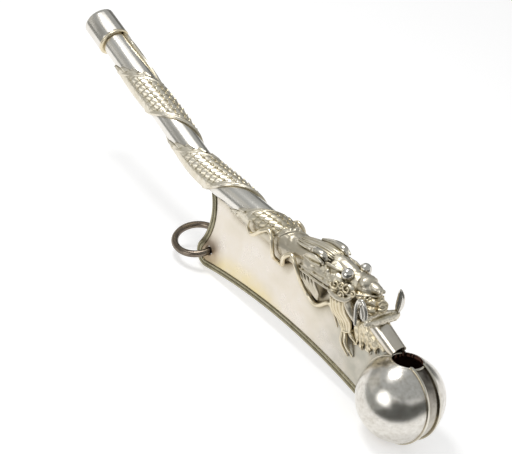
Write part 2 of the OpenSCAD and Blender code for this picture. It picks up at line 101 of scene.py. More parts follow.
# %% The buoy's centre
cup_low, cup_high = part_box("buoy_cup_left")
buoy_r = -cup_low.y / MM
rim_r = (cup_high.x - cup_low.x) / 2 / MM
channel_half = -cup_high.y / MM
buoy = Vector(((cup_low.x + cup_high.x) / 2, 0, cup_low.z + rim_r * MM))
both = ((-1, "left"), (1, "right"))
across_keel = (0, 1, 0)
print("buoy of", round(buoy_r, 2), "mm radius with its centre at", [round(c / MM, 2) for c in buoy])

# %% [markdown]
# The gun's centreline is a straight mouth stretch, a wide bend, a level stretch, a tight bend and the
# wind end. A curve object could carry a tube along it. The dragon needs places on the gun's skin too, so
# the route is worked out here, as a slope that changes with the length from the mouth.

# %% The gun's sizes
gun_r, gun_wall, gun_lift = 3.1, 0.5, 13.0
neck_r, tip_r = 2.3, 1.95
mouth_rise, bend_r, mouth_len = math.radians(16), 40.0, 52.0
tip_drop, tip_bend_r, tip_len = math.radians(18), 12.0, 14.0
level_len, full_len = 54.0, 21.0
hole_r, hole_lean = 3.0, math.radians(8)

tip_x = -buoy_r * math.sin(hole_lean + math.asin(hole_r / buoy_r))
bend_b_x = tip_x - tip_len * math.cos(tip_drop)
bend_a_x = bend_b_x - level_len
bend_a_back = bend_r * math.tan(mouth_rise / 2)
bend_b_back = tip_bend_r * math.tan(tip_drop / 2)
mouth_straight = mouth_len - bend_a_back
bend_a_end = mouth_straight + bend_r * mouth_rise
taper_start = bend_a_end + full_len - bend_a_back
bend_b_start = bend_a_end + level_len - bend_a_back - bend_b_back
bend_b_end = bend_b_start + tip_bend_r * tip_drop
gun_len = bend_b_end + tip_len - bend_b_back
mouth = np.array((bend_a_x - mouth_len * math.cos(mouth_rise), 0,
                  gun_lift + mouth_len * math.sin(mouth_rise)))
print("gun is", round(gun_len, 1), "mm long")

# %% [markdown]
# Adding the slope up in short steps gives the centreline. After that, three numbers name any place on the
# gun's skin: the length from the mouth, the angle round the gun and the rise above the skin.

# %% The gun's route
def gun_slope(s):
    """How steeply the gun runs down at a length s from the mouth, in radians."""
    first = mouth_rise * (1 - np.clip((s - mouth_straight) / (bend_r * mouth_rise), 0, 1))
    return first + tip_drop * np.clip((s - bend_b_start) / (tip_bend_r * tip_drop), 0, 1)


route_points = 1600
gun_steps = np.linspace(0, gun_len, route_points)
gun_turns = gun_slope((gun_steps[1:] + gun_steps[:-1]) / 2)
gun_xs = mouth[0] + np.concatenate(([0], np.cumsum(np.cos(gun_turns) * np.diff(gun_steps))))
gun_zs = mouth[2] - np.concatenate(([0], np.cumsum(np.sin(gun_turns) * np.diff(gun_steps))))
wind_end = np.array((gun_xs[-1], 0, gun_zs[-1]))


def gun_radius(s):
    """Outer radius of the gun at a length s from the mouth."""
    return np.interp(s, (0, taper_start, bend_b_start, bend_b_end, gun_len),
                     (gun_r, gun_r, neck_r, neck_r, tip_r))


def on_gun(s, angle, rise):
    """Points at a length s, an angle in radians from the gun's top towards +Y, and a rise above its skin."""
    r = gun_radius(s) + rise
    lean = gun_slope(s)
    return np.stack((np.interp(s, gun_steps, gun_xs) + r * np.cos(angle) * np.sin(lean),
                     r * np.sin(angle),
                     np.interp(s, gun_steps, gun_zs) + r * np.cos(angle) * np.cos(lean)), axis=-1)


print("gun runs from", mouth.round(1), "to", wind_end.round(1))

# %% [markdown]
# ## Camera
# The photograph was taken from the left, ahead and above, with a long lens and a slight roll. The
# camera's three directions were fitted to the buoy, its channel, the ferrule and the gun's edges.

# %% Camera
camera_right = Vector((0.6177, 0.7515, 0.2317))
camera_up = Vector((-0.5233, 0.1729, 0.8344))
camera_back = Vector((0.5870, -0.6367, 0.5001))
camera_from_buoy = Vector((139.52, -207.89, 172.98))
image_width, focal_pixels, sensor_mm = 512, 1450, 36

camera_data = bpy.data.cameras.new("camera")
camera_data.sensor_width = sensor_mm
camera_data.lens = focal_pixels / image_width * sensor_mm
camera = bpy.data.objects.new("camera", camera_data)
camera.matrix_world = Matrix.Translation(buoy + camera_from_buoy * MM) @ Matrix(
    (camera_right, camera_up, camera_back)).transposed().to_4x4()
scene.collection.objects.link(camera)
scene.camera = camera
print("lens:", round(camera_data.lens, 1), "mm")

# %% [markdown]
# ## Finishes
# Sterling silver is a metal with a very pale, slightly warm reflection. Polishing keeps it bright on the
# high places, and a sulphur tarnish of straw, olive and brown stays where the cloth can't reach. So each
# finish mixes a bright colour with a tarnish, by how closed-in a place is and by clouds of a few
# millimetres. A painted picture could hold that too, but nodes fit any shape and stay sharp at any
# distance.

# %% Colour and node helpers
def linear(hex_colour):
    """An sRGB hex colour as linear RGBA."""
    parts = [int(hex_colour[i:i + 2], 16) / 255 for i in (1, 3, 5)]
    return tuple(c / 12.92 if c <= 0.04045 else ((c + 0.055) / 1.055) ** 2.4 for c in parts) + (1.0,)


def add(tree, kind, links=(), values=(), **settings):
    """Add a node: links are (socket, source), values are (socket, constant), settings are by name."""
    node = tree.nodes.new(kind)
    for key, value in settings.items():
        if hasattr(node, key):
            setattr(node, key, value)
        else:
            node.inputs[key].default_value = value
    for socket, value in values:
        node.inputs[socket].default_value = value
    for socket, source in links:
        tree.links.new(node.inputs[socket], source)
    return node


print("a screen grey of #808080 is", round(linear("#808080")[0], 3), "in linear light")

# %% [markdown]
# Tarnish gathers in corners. The ambient-occlusion node finds them: it is near 1 on open ground and falls
# towards 0 in a groove. A noise of the size of a cloud breaks its edge up, so that no two grooves match.
# The same measure sets the colour, through a ramp, and the roughness, because a tarnished place is also
# duller.

# %% Silver and its tarnish
cloud_share = 0.5
most_closed, most_open = 0.25, 1.38
scratch_mm, scratch_deep_mm = 0.1, 0.02


def silver(name, bright, stops, reach_mm, cloud_mm, rough, scratch, metallic=1.0):
    """Silver with tarnish: stops run from closed-in to open, reach_mm is how far a corner darkens."""
    material = bpy.data.materials.new(name)
    material.use_nodes = True
    tree = material.node_tree
    shader = tree.nodes["Principled BSDF"]
    shader.inputs["Metallic"].default_value = metallic
    place = add(tree, "ShaderNodeTexCoord").outputs["Object"]
    cloud = add(tree, "ShaderNodeTexNoise", [("Vector", place)],
                Scale=1 / (cloud_mm * MM), Detail=4.0, Roughness=0.6)
    corner = add(tree, "ShaderNodeAmbientOcclusion", samples=12, Distance=reach_mm * MM)
    mixed = add(tree, "ShaderNodeMath", [(0, cloud.outputs["Fac"]), (2, corner.outputs["AO"])],
                [(1, cloud_share)], operation="MULTIPLY_ADD")
    level = add(tree, "ShaderNodeMapRange", [("Value", mixed.outputs[0])],
                [("From Min", most_closed), ("From Max", most_open)])
    tarnish = add(tree, "ShaderNodeValToRGB", [("Fac", level.outputs[0])])
    stops = stops + [(1.0, bright)]
    elements = tarnish.color_ramp.elements
    while len(elements) < len(stops):
        elements.new(0.5)
    for element, (position, colour) in zip(elements, stops):
        element.position, element.color = position, linear(colour)
    wear = add(tree, "ShaderNodeMapRange", [("Value", level.outputs[0])],
               [("To Min", rough[1]), ("To Max", rough[0])])
    # Polishing scratches are finer than a pixel, so they are drawn at a tenth of a millimetre
    fine = add(tree, "ShaderNodeTexNoise", [("Vector", place)], Scale=1 / (scratch_mm * MM), Detail=2.0)
    bump = add(tree, "ShaderNodeBump", [("Height", fine.outputs["Fac"])],
               Strength=scratch, Distance=scratch_deep_mm * MM)
    for socket, source in (("Base Color", tarnish.outputs["Color"]), ("Roughness", wear.outputs[0]),
                           ("Normal", bump.outputs["Normal"])):
        tree.links.new(shader.inputs[socket], source)
    return material


print("scratches are drawn", scratch_mm, "mm apart")

# %% [markdown]
# Each piece was made in its own way, and that decides how it mirrors the room: drawn and polished metal
# is nearly a mirror, a casting keeps a dull skin, and a place that fingers never rub goes straw, olive or
# brown.

# %% Finishes of the whistle
# Rubbed bright by hand: a soft mirror, with brown left only in the tightest corners
polished_silver = silver("hand-polished sterling silver", "#E9E5DE",
                         [(0.0, "#54472F"), (0.35, "#9A917C"), (0.7, "#CFCAC0")],
                         reach_mm=1.5, cloud_mm=5.0, rough=(0.15, 0.34), scratch=0.3)
# Drawn through a die and polished along its length: long bright streaks, a little softer than a mirror
gun_silver = silver("drawn sterling tube", "#EDEAE4",
                    [(0.0, "#54472F"), (0.35, "#A59C88"), (0.7, "#D8D3C9")],
                    reach_mm=1.5, cloud_mm=5.0, rough=(0.18, 0.36), scratch=0.3)
# Raised with a hammer and carried in the palm: a blurred mirror with small grey specks
buoy_silver = silver("worn sterling of the buoy", "#E9E6E0",
                     [(0.0, "#6A5A44"), (0.4, "#B6A68F"), (0.74, "#BFB8AB"), (0.87, "#DAD6CE")],
                     reach_mm=1.5, cloud_mm=1.2, rough=(0.19, 0.36), scratch=0.5)
# Out of the cloth's reach in its channel: the same mirror, but greyer
band_silver = silver("tarnished sterling band", "#D6D1C6",
                     [(0.0, "#3E3628"), (0.4, "#8A8270"), (0.74, "#B4AD9F")],
                     reach_mm=1.2, cloud_mm=1.2, rough=(0.16, 0.34), scratch=0.4)
# Rolled sheet rubbed to a satin: an even pale sheen without sharp reflections, in wide warm clouds
keel_silver = silver("satin sterling plate with straw clouds and painted shade", "#E9E4DF",
                     [(0.0, "#4E4030"), (0.45, "#8F8268"), (0.7, "#BDB3A0"), (0.8, "#DCD4C4"),
                      (0.87, "#E3DBCE")],
                     reach_mm=2.5, cloud_mm=11.0, rough=(0.26, 0.42), scratch=0.3)
# Soft wire that is seldom rubbed: bright on its crest and olive along its sides
edge_silver = silver("reeded border with olive tarnish", "#ABA58E",
                     [(0.0, "#2A2318"), (0.4, "#575039"), (0.74, "#827B60")],
                     reach_mm=1.0, cloud_mm=1.6, rough=(0.24, 0.44), scratch=0.3)
# Sulphur has turned the whole wire: dark grey-brown, with a little shine where the chain rubs it
dark_silver = silver("silver wire blackened by tarnish", "#95897A",
                     [(0.0, "#1F1917"), (0.4, "#3A3230"), (0.72, "#544B45")],
                     reach_mm=1.2, cloud_mm=2.5, rough=(0.2, 0.4), scratch=0.4)
# Inside the buoy the tarnish is thick enough to hide the metal: a matt brown that mirrors nothing
inner_silver = silver("brown tarnish inside the buoy", "#6B4A3A", [(0.0, "#4A3026"), (0.5, "#5B3B2E")],
                      reach_mm=6.0, cloud_mm=3.0, rough=(0.5, 0.7), scratch=0.4, metallic=0.0)
print("eight finishes, from", polished_silver.name, "to", inner_silver.name)

# %% [markdown]
# The dragon's pieces were cast, filed and soldered on. One finish would make a single lump of them, so
# the body, the head, the ornaments and the wires each have their own.

# %% Finishes of the dragon
# Cast in a mould and brushed: broad soft lights on every scale, and straw brown between them
cast_silver = silver("cast silver with straw tarnish", "#EBE5D8",
                     [(0.0, "#40361F"), (0.3, "#948865"), (0.66, "#CCC2A8")],
                     reach_mm=0.8, cloud_mm=2.0, rough=(0.33, 0.5), scratch=0.4)
# The mould's skin is still on the head: greyer and duller than the body
head_silver = silver("worn cast silver with a dull skin", "#DCD5C6",
                     [(0.0, "#40361F"), (0.3, "#998D6D"), (0.66, "#CBC2AC")],
                     reach_mm=0.8, cloud_mm=2.0, rough=(0.36, 0.5), scratch=0.4)
# Thin tarnish over a casting tints it like gilding: warm, pale gold and soft
gilt_silver = silver("cast silver gone straw gold", "#EEE4CE",
                     [(0.0, "#54462A"), (0.3, "#A08D64"), (0.66, "#D8CAA8")],
                     reach_mm=0.9, cloud_mm=1.6, rough=(0.28, 0.46), scratch=0.4)
# Drawn wire and small polished forms: narrow bright lines with olive beside them
wire_silver = silver("drawn silver wire", "#E2DDD2",
                     [(0.0, "#3A3220"), (0.4, "#8F8568"), (0.7, "#C6BFAE")],
                     reach_mm=0.9, cloud_mm=3.0, rough=(0.16, 0.36), scratch=0.3)
print("four finishes, from", cast_silver.name, "to", wire_silver.name)

# %% [markdown]
# ## Mesh helpers
# Three ways of making a form cover the whole call: a tube swept along a route, a profile turned round an
# axis, and a casting. A casting starts as overlapping balls and tubes, which a voxel remesh melts into
# one skin and a smoothing pass softens, much as wax is worked before silver is poured.

# %% A piece of the call
def piece(name, shape, material, nodes, body="call"):
    """Make an object of (points in mm from the buoy's centre, faces) that stands for the named solids."""
    points, faces = shape
    mesh = bpy.data.meshes.new(name)
    mesh.from_pydata([tuple(buoy + Vector(p) * MM) for p in points], [], [list(map(int, f)) for f in faces])
    mesh.validate()
    mesh.shade_smooth()
    mesh.materials.append(material)
    obj = bpy.data.objects.new(name, mesh)
    scene.collection.objects.link(obj)
    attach(obj, body)
    if nodes:
        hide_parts(*nodes)
    return obj


def settle(obj):
    """Turn an object's modifiers into its mesh."""
    bpy.context.view_layer.update()
    evaluated = obj.evaluated_get(bpy.context.evaluated_depsgraph_get())
    mesh = bpy.data.meshes.new_from_object(evaluated)
    obj.modifiers.clear()
    obj.data = mesh


# %% [markdown]
# Every tube, turned form and strip below is rows of points, so one function that puts faces between rows
# serves them all. Blender's own primitives are quicker to add, but can't follow a bend.

# %% Faces between rows of points
def full_turn(sides):
    """Evenly spaced angles round a circle, in radians."""
    return 2 * np.pi * np.arange(sides) / sides


def rings(rows, close_rows=False):
    """Faces between closed rows of points. close_rows also joins the last row to the first."""
    n, m = rows.shape[:2]
    faces = []
    for i in range(n if close_rows else n - 1):
        here, there = i * m, (i + 1) % n * m
        faces += [(here + k, here + (k + 1) % m, there + (k + 1) % m, there + k) for k in range(m)]
    return rows.reshape(-1, 3), faces


def capped(rows, inside_out=False):
    """Faces between closed rows of points, with the first and the last row filled."""
    points, faces = rings(rows)
    last = len(points) - rows.shape[1]
    faces += [list(range(rows.shape[1]))[::-1], list(range(last, len(points)))]
    return points, [f[::-1] for f in faces] if inside_out else faces


def joined(shapes):
    """Several shapes as one list of points and one of faces."""
    points, faces, count = [], [], 0
    for p, f in shapes:
        points.append(np.asarray(p, float))
        faces += [[i + count for i in face] for face in f]
        count += len(p)
    return np.concatenate(points), faces


print("three rows of eight points give", len(rings(np.zeros((3, 8, 3)))[1]), "faces")

# %% [markdown]
# Wires, horns, hair and reeds are tubes that taper along a bent route. A curve object with a bevel could
# make them. Here a short list of places gives a smooth curve, and a ring of points is carried along it
# without a twist, so that all of them are plain meshes from the start.

# %% Curves and tubes
off_axis = (0.31, 0.87, 0.38)
first_cap, last_cap = (-80, -50, -20, 0), (0, 20, 50, 80)


def curve_through(points, per=8):
    """A smooth curve through rows of numbers, such as x, y, z and a radius."""
    p = np.asarray(points, float)
    p = np.concatenate((2 * p[:1] - p[1:2], p, 2 * p[-1:] - p[-2:-1]))
    out = []
    for a, b, c, d in zip(p, p[1:], p[2:], p[3:]):
        for t in np.arange(per) / per:
            out.append(0.5 * (2 * b + (c - a) * t + (2 * a - 5 * b + 4 * c - d) * t ** 2
                              + (3 * b - a - 3 * c + d) * t ** 3))
    return np.array(out + [p[-2]])


def sweep(route, radius, sides=14, flat=1.0, across=None):
    """A round-ended tube along a route. flat thins it along the direction across."""
    route = np.asarray(route, float)
    radius = np.broadcast_to(np.asarray(radius, float), (len(route),))
    along = np.gradient(route, axis=0)
    along /= np.linalg.norm(along, axis=1)[:, None]
    turn = full_turn(sides)[:, None]
    side = np.cross(along[0], off_axis if across is None else across)
    caps = {0: first_cap, len(route) - 1: last_cap}
    rows = []
    for i, (p, t, r) in enumerate(zip(route, along, radius)):
        if across is not None:
            side = np.cross(t, across)
        side = side - t * side.dot(t)
        side /= np.linalg.norm(side)
        circle = np.cos(turn) * side + flat * np.sin(turn) * np.cross(t, side)
        for angle in np.radians(caps.get(i, (0,))):
            rows.append(p + r * min(flat, 1) * np.sin(angle) * t + r * np.cos(angle) * circle)
    return capped(np.array(rows))


print("a short tube has", len(sweep([(0, 0, 0), (1, 0, 0)], 0.2)[1]), "faces")

# %% [markdown]
# A silversmith raises round forms with a hammer and turns collars on a lathe. An egg with three radii
# stands for the first. A profile turned round an axis gives the second, as a screw modifier would, but
# about any axis.

# %% Eggs and turned forms
pole_gap = 0.05


def ball(centre, radii, turn_y=0.0, sides=20):
    """An egg at centre with one radius or three, turned about Y by degrees."""
    theta = np.pi * np.arange(sides // 2 + 1) / (sides // 2)
    theta = np.clip(theta, pole_gap, np.pi - pole_gap)[:, None]
    phi = full_turn(sides)
    rows = np.stack((np.sin(theta) * np.cos(phi), np.sin(theta) * np.sin(phi),
                     np.cos(theta) * np.ones_like(phi)), axis=-1)
    points, faces = capped(rows * np.asarray(radii, float), inside_out=True)
    spin = np.array(Matrix.Rotation(math.radians(turn_y), 3, "Y"))
    return points @ spin.T + np.asarray(centre, float), faces


def turned(profile, foot, axis, start, sides):
    """Rows of (distance along, radius) points turned round an axis from foot, from the direction start."""
    turn = full_turn(sides)[:, None]
    circle = np.cos(turn) * start + np.sin(turn) * np.cross(start, axis)
    return np.array([np.asarray(foot) + d * np.asarray(axis) + r * circle for d, r in profile])


print("an egg has", len(ball((0, 0, 0), 1.0)[1]), "faces")

# %% [markdown]
# Modifiers melt, soften and cut the pieces, and their results are kept as plain meshes, so that the
# export has nothing left to work out. A few faces then get a second finish.

# %% Casting, cutting and painting
def cast(name, shapes, material, nodes, voxel, soften, lump_mm=1.0, lump_deep=0.0):
    """Melt overlapping shapes into one skin, soften it and leave the wax's lumps in it."""
    obj = piece(name, joined(shapes), material, nodes)
    melt = obj.modifiers.new("melt", "REMESH")
    melt.mode, melt.voxel_size, melt.use_smooth_shade = "VOXEL", voxel * MM, True
    smooth = obj.modifiers.new("soften", "SMOOTH")
    smooth.factor, smooth.iterations = 0.5, soften
    settle(obj)
    if lump_deep:
        normals = [vertex.normal.copy() for vertex in obj.data.vertices]
        for vertex, normal in zip(obj.data.vertices, normals):
            vertex.co += normal * lump_deep * MM * noise.noise(vertex.co / (lump_mm * MM))
    obj.data.shade_smooth()
    print(name, len(obj.data.polygons), "faces")
    return obj


def cut(obj, tool):
    """Cut one object away from another with an exact boolean, and drop the tool."""
    knife = obj.modifiers.new("cut", "BOOLEAN")
    knife.operation, knife.solver, knife.object = "DIFFERENCE", "EXACT", tool
    settle(obj)
    bpy.data.objects.remove(tool)
    return obj


def crisp(obj, degrees):
    """Shade smooth, but keep edges sharper than this angle."""
    obj.data.set_sharp_from_angle(angle=math.radians(degrees))


def paint(obj, material, chosen):
    """Give another finish to the faces whose middle, in mm from the buoy's centre, passes a test."""
    obj.data.materials.append(material)
    for face in obj.data.polygons:
        if chosen((face.center - buoy) / MM):
            face.material_index = len(obj.data.materials) - 1


# %% [markdown]
# Tarnish also gathers round a place, such as a hole that fingers and chains rub or a joint that was soldered.
# Such a stain is a colour that fades out with the distance from that place, broken up by a fine cloud. The
# same fading colour is also used for painted shade and for a painted darker reflection.

# %% Stains and painted shade
stain_and_shade_cloud_mm = 3


def stain_and_shade(material, owner, centre, radius, reach_mm, colour, share):
    """Lay a colour on a finish of its owner, for a stain and for painted shade: full on a ball round centre,
    fading out over a reach beyond it.
    """
    tree = material.node_tree
    base = tree.nodes["Principled BSDF"].inputs["Base Color"]
    place = add(tree, "ShaderNodeTexCoord").outputs["Object"]
    middle = owner.matrix_world.inverted() @ (buoy + Vector(centre) * MM)
    away = add(tree, "ShaderNodeVectorMath", [(0, place)], [(1, middle)], operation="DISTANCE")
    near = add(tree, "ShaderNodeMapRange", [("Value", away.outputs["Value"])],
               [("From Min", radius * MM), ("From Max", (radius + reach_mm) * MM),
                ("To Min", share), ("To Max", 0.0)], interpolation_type="SMOOTHSTEP")
    cloud = add(tree, "ShaderNodeTexNoise", [("Vector", place)], Scale=1 / (stain_and_shade_cloud_mm * MM), Detail=4.0)
    thin = add(tree, "ShaderNodeMath", [(0, near.outputs[0]), (1, cloud.outputs["Fac"])],
               operation="MULTIPLY")
    # The noise is about a half on average, so twice its product is the share that was asked for
    full = add(tree, "ShaderNodeMath", [(0, thin.outputs[0])], [(1, 2.0)],
               operation="MULTIPLY", use_clamp=True)
    # With colours the Mix node takes its two inputs at sockets 6 and 7 and gives its result at output 2
    blend = add(tree, "ShaderNodeMix", [(0, full.outputs[0]), (6, base.links[0].from_socket)],
                [(7, linear(colour))], data_type="RGBA")
    tree.links.new(base, blend.outputs[2])


print("a stain breaks up into clouds of", stain_and_shade_cloud_mm, "mm")

# %% [markdown]
# ## Gun and ferrule
# The gun is drawn tube. A bevelled curve would give its outside, but the mouth is open and the bore
# shows, so outside and bore are rings of one skin. The wind end stops short of the buoy, so a ball of the
# buoy's size is cut out of it. The soldering flame left a soft tan stain there.

# %% Gun
gun_sides, seat_gap = 64, 0.05
gun_rows = np.concatenate((np.linspace(0, mouth_straight, 12),
                           np.linspace(mouth_straight + 0.5, bend_a_end, 16),
                           np.linspace(bend_a_end + 1, bend_b_start, 20),
                           np.linspace(bend_b_start + 0.3, gun_len, 16)))
gun_skin = [on_gun(s, full_turn(gun_sides), 0.0) for s in gun_rows]
gun_bore = [on_gun(s, full_turn(gun_sides), -gun_wall) for s in gun_rows[::-1]]
gun = piece("gun", rings(np.array(gun_skin + gun_bore), close_rows=True), gun_silver,
            ["gun_tube"])
seat = piece("seat_tool", ball((0, 0, 0), rim_r + seat_gap, sides=96), polished_silver, [])
crisp(cut(gun, seat), 40)
stain_and_shade(gun_silver, gun, wind_end, radius=2.0, reach_mm=12.0, colour="#D8CEBC", share=0.6)
print("gun:", len(gun.data.polygons), "faces")

# %% [markdown]
# The ferrule is a turned collar with softened rims, soldered on where the lips close. A cylinder with a
# bevel would come close to it. Its rims and its bead are one outline, though, so that outline is turned.
# The bead collects straw tarnish, so its faces get the gold finish.

# %% Ferrule
ferrule_len, ferrule_r, ferrule_fit, bead_len = 8.0, 4.0, 0.03, 0.7
ferrule_in = gun_r + ferrule_fit
ferrule_profile = [(0.0, ferrule_in), (-0.02, ferrule_in + 0.3), (0.06, ferrule_r - 0.22),
                   (0.2, ferrule_r - 0.06), (0.4, ferrule_r), (1.0, ferrule_r - 0.03),
                   (ferrule_len - 1.0, ferrule_r - 0.03), (ferrule_len - bead_len, ferrule_r - 0.12),
                   (ferrule_len - 0.55, ferrule_r - 0.02), (ferrule_len - 0.25, ferrule_r),
                   (ferrule_len - 0.05, ferrule_r - 0.12), (ferrule_len, ferrule_r - 0.4),
                   (ferrule_len, ferrule_in)]
mouth_ahead = np.array((math.cos(mouth_rise), 0, -math.sin(mouth_rise)))
mouth_up = np.array((math.sin(mouth_rise), 0, math.cos(mouth_rise)))
ferrule_rows = turned(ferrule_profile[::-1], mouth, mouth_ahead, mouth_up, 72)
ferrule = piece("ferrule", rings(ferrule_rows, close_rows=True), polished_silver,
                ["mouth_ferrule"])
crisp(ferrule, 50)
paint(ferrule, gilt_silver, lambda p: (p - Vector(mouth)).dot(mouth_ahead) > ferrule_len - bead_len)
print("ferrule:", len(ferrule.data.polygons), "faces, with gold tarnish along its lower bead")

# %% [markdown]
# ## Buoy
# Two raised cups meet in a recessed band. Half a sphere would do for a cup without a wall. These have an
# inside and a small bead at the rim, so each is a profile turned about Y. The blow hole is cut through
# cups and band with a leaning cylinder, and the inside is brown, as no cloth reaches it.

# %% Blow hole
worn_hole_r, worn_hole_lean = 3.3, math.radians(9.5)
hole_axis = np.array((-math.sin(worn_hole_lean), 0, math.cos(worn_hole_lean)))
hole_ahead = np.array((math.cos(worn_hole_lean), 0, math.sin(worn_hole_lean)))


def hole_tool():
    """The blow hole's cutter, from inside the band to outside the buoy."""
    route = [hole_axis * d for d in (3, 6, 9, 14)]
    return piece("hole_tool", sweep(route, worn_hole_r, sides=64), inner_silver, [])


print("blow hole is", 2 * worn_hole_r, "mm across")

# %% [markdown]
# A cup's profile runs down the outside, over the rim's bead and back up the inside. It stops a hair short
# of the pole, so that no face shrinks to nothing there, and a small cap closes it.

# %% Cups
buoy_sides, cup_wall, rim_w, rim_bead, rim_sunk = 128, 0.8, 0.6, 0.03, 0.02
pole = math.pi / 2 - 0.004


def about_y(profile):
    """(y, radius) points turned round the Y axis through the buoy's centre."""
    return turned(profile, (0, 0, 0), np.array(across_keel), np.array((1, 0, 0)), buoy_sides)


def cup(side, name):
    """One cup: the outside from its pole to the rim bead, then the inside back to its pole."""
    inner_r = buoy_r - cup_wall
    edge = math.asin((channel_half + rim_w) / buoy_r)
    inner_edge = math.asin(channel_half / inner_r)
    outside = [(buoy_r * math.sin(t), buoy_r * math.cos(t)) for t in np.linspace(pole, edge, 48)]
    bead = [(channel_half + rim_w / 2 + rim_w / 2 * math.cos(t), rim_r - rim_sunk + rim_bead * math.sin(t))
            for t in np.linspace(0.3, math.pi - 0.3, 8)]
    inside = [(inner_r * math.sin(t), inner_r * math.cos(t)) for t in np.linspace(inner_edge, pole, 32)]
    profile = outside + bead + [(channel_half, rim_r - 0.1)] + inside
    rows = about_y([(side * y, r) for y, r in profile])
    return piece("buoy_" + name, capped(rows, side < 0), buoy_silver, ["buoy_cup_" + name])


for side, name in both:
    half = cut(cup(side, name), hole_tool())
    paint(half, wire_silver, lambda p: abs(p.y) < channel_half + rim_w)
    paint(half, inner_silver, lambda p: p.length < buoy_r - cup_wall / 2)
    crisp(half, 35)
    print("cup:", len(half.data.polygons), "faces")

# %% [markdown]
# The band lies just below the cups' rims. A bent wire was soldered round the blow hole as a lip, and the band
# is darker near it. Both are turned forms again: a flat hoop about Y, and a round wire about the hole's axis.

# %% Band and lip
band_wall, band_fit, channel_deep = 0.8, 0.03, 0.35
band_r, band_half = buoy_r - channel_deep, channel_half - band_fit
band_rows = about_y([(-band_half, band_r), (band_half, band_r),
                     (band_half, band_r - band_wall), (-band_half, band_r - band_wall)])
band = cut(piece("band", rings(band_rows, close_rows=True), band_silver, ["buoy_band"]),
           hole_tool())
paint(band, inner_silver, lambda p: p.length < band_r - band_wall / 2)
stain_and_shade(band_silver, band, hole_axis * band_r, radius=worn_hole_r, reach_mm=14.0, colour="#4E4842", share=0.9)
crisp(band, 35)

lip_r, lip_wire_r, lip_sunk = worn_hole_r + 0.26, 0.28, 0.25
lip_lift = math.sqrt((buoy_r - lip_sunk) ** 2 - lip_r ** 2)
lip_profile = [(lip_lift - lip_wire_r * math.sin(t), lip_r + lip_wire_r * math.cos(t)) for t in full_turn(8)]
lip_rows = turned(lip_profile, (0, 0, 0), hole_axis, hole_ahead, 72)
piece("blow_hole_lip", rings(lip_rows, close_rows=True), wire_silver, ["buoy_band"])
print("channel is", channel_deep, "mm deep and", round(2 * channel_half, 2), "mm wide")

# %% [markdown]
# ## Keel
# The plate was sawn from sheet and needs no more than its solid has, so it keeps its solid and only gets a
# finish. Towards the buoy it is greyed as painted shade of the head; it has turned straw yellow along the
# bottom edge and brown round the ring's eye.

# %% Keel plate
keel_plate = frame["nodes"]["keel_plate"]
keel_plate.data.materials.clear()
keel_plate.data.materials.append(keel_silver)
keel_face = -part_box("keel_plate")[0].y / MM
keel_len, rear_arc_r, rear_waist = 66.1, 13.4, 2.8
corner_r, corner_drop = 3.5, 5.3
bottom_arc_r, bottom_waist = 150.0, 5.5
eye_back, eye_up = 0.4, 0.9
rear_c = np.array((-keel_len - rear_arc_r, rear_waist))
corner_run = math.sqrt((rear_arc_r + corner_r) ** 2 - (rear_waist + corner_drop) ** 2)
corner_c = np.array((rear_c[0] + corner_run, -corner_drop))
bottom_z = -bottom_waist - bottom_arc_r
bottom_run = math.sqrt((bottom_arc_r + corner_r) ** 2 - (corner_c[1] - bottom_z) ** 2)
bottom_c = np.array((corner_c[0] + bottom_run, bottom_z))
ring_eye = np.array((corner_c[0] + eye_back, 0, corner_c[1] + eye_up))

straw_x, straw_r = -49.0, 30.0
# Painted shade of the head: the plate is greyed on a ball round the buoy, fading out beyond it
stain_and_shade(keel_silver, keel_plate, (0, 0, 0), radius=buoy_r, reach_mm=24.0, colour="#B5B2A6", share=0.8)
stain_and_shade(keel_silver, keel_plate, (straw_x, 0, -bottom_waist - straw_r), radius=straw_r + 1.0, reach_mm=5.0,
      colour="#E4D4A0", share=0.65)
stain_and_shade(keel_silver, keel_plate, ring_eye, radius=1.0, reach_mm=5.5, colour="#A8947C", share=0.8)
print("ring's eye at", ring_eye.round(2), "from the buoy's centre")

# %% [markdown]
# The border is two half-round wires side by side with a row of small beads between them. It is soldered
# along the rear edge, the corner and the bottom edge, which are three arcs that meet smoothly.

# %% The keel's edge
border_end_x = -6.0


def arc(centre, radius, start, stop, steps):
    """Points on a circle between two angles in radians."""
    t = np.linspace(start, stop, steps)
    return np.stack((centre[0] + radius * np.cos(t), centre[1] + radius * np.sin(t)), axis=-1)


def keel_edge(inset):
    """The keel's free edge, drawn in by inset, from the gun round the corner to the buoy."""
    to_rear = math.atan2(*(rear_c - corner_c)[::-1])
    to_bottom = math.atan2(*(bottom_c - corner_c)[::-1])
    top = math.asin((gun_lift - gun_r - rear_c[1]) / (rear_arc_r + inset))
    foot = math.acos((border_end_x - bottom_c[0]) / (bottom_arc_r + inset))
    return np.concatenate((arc(rear_c, rear_arc_r + inset, top, to_rear - math.pi, 40)[:-1],
                           arc(corner_c, corner_r - inset, to_rear, to_bottom + 2 * math.pi, 40)[:-1],
                           arc(bottom_c, bottom_arc_r + inset, to_bottom + math.pi, foot, 90)))


def along_edge(inset, rise, side):
    """The edge as points in space, at a rise above the plate's face."""
    edge = keel_edge(inset)
    return np.stack((edge[:, 0], np.full(len(edge), side * (keel_face + rise)), edge[:, 1]), axis=-1)


def evenly(route, gap):
    """Points spaced gap apart along a route."""
    lengths = np.concatenate(([0], np.cumsum(np.linalg.norm(np.diff(route, axis=0), axis=1))))
    marks = np.arange(gap / 2, lengths[-1], gap)
    return np.stack([np.interp(marks, lengths, route[:, k]) for k in range(3)], axis=-1)


edge_len = np.linalg.norm(np.diff(keel_edge(0.0), axis=0), axis=1).sum()
print("keel's edge is", round(edge_len, 1), "mm long")

# %% [markdown]
# Both wires and the beads follow that edge, each at its own distance from it. A tube that is pressed flat
# and half sunk in the plate gives a reed its low round form.

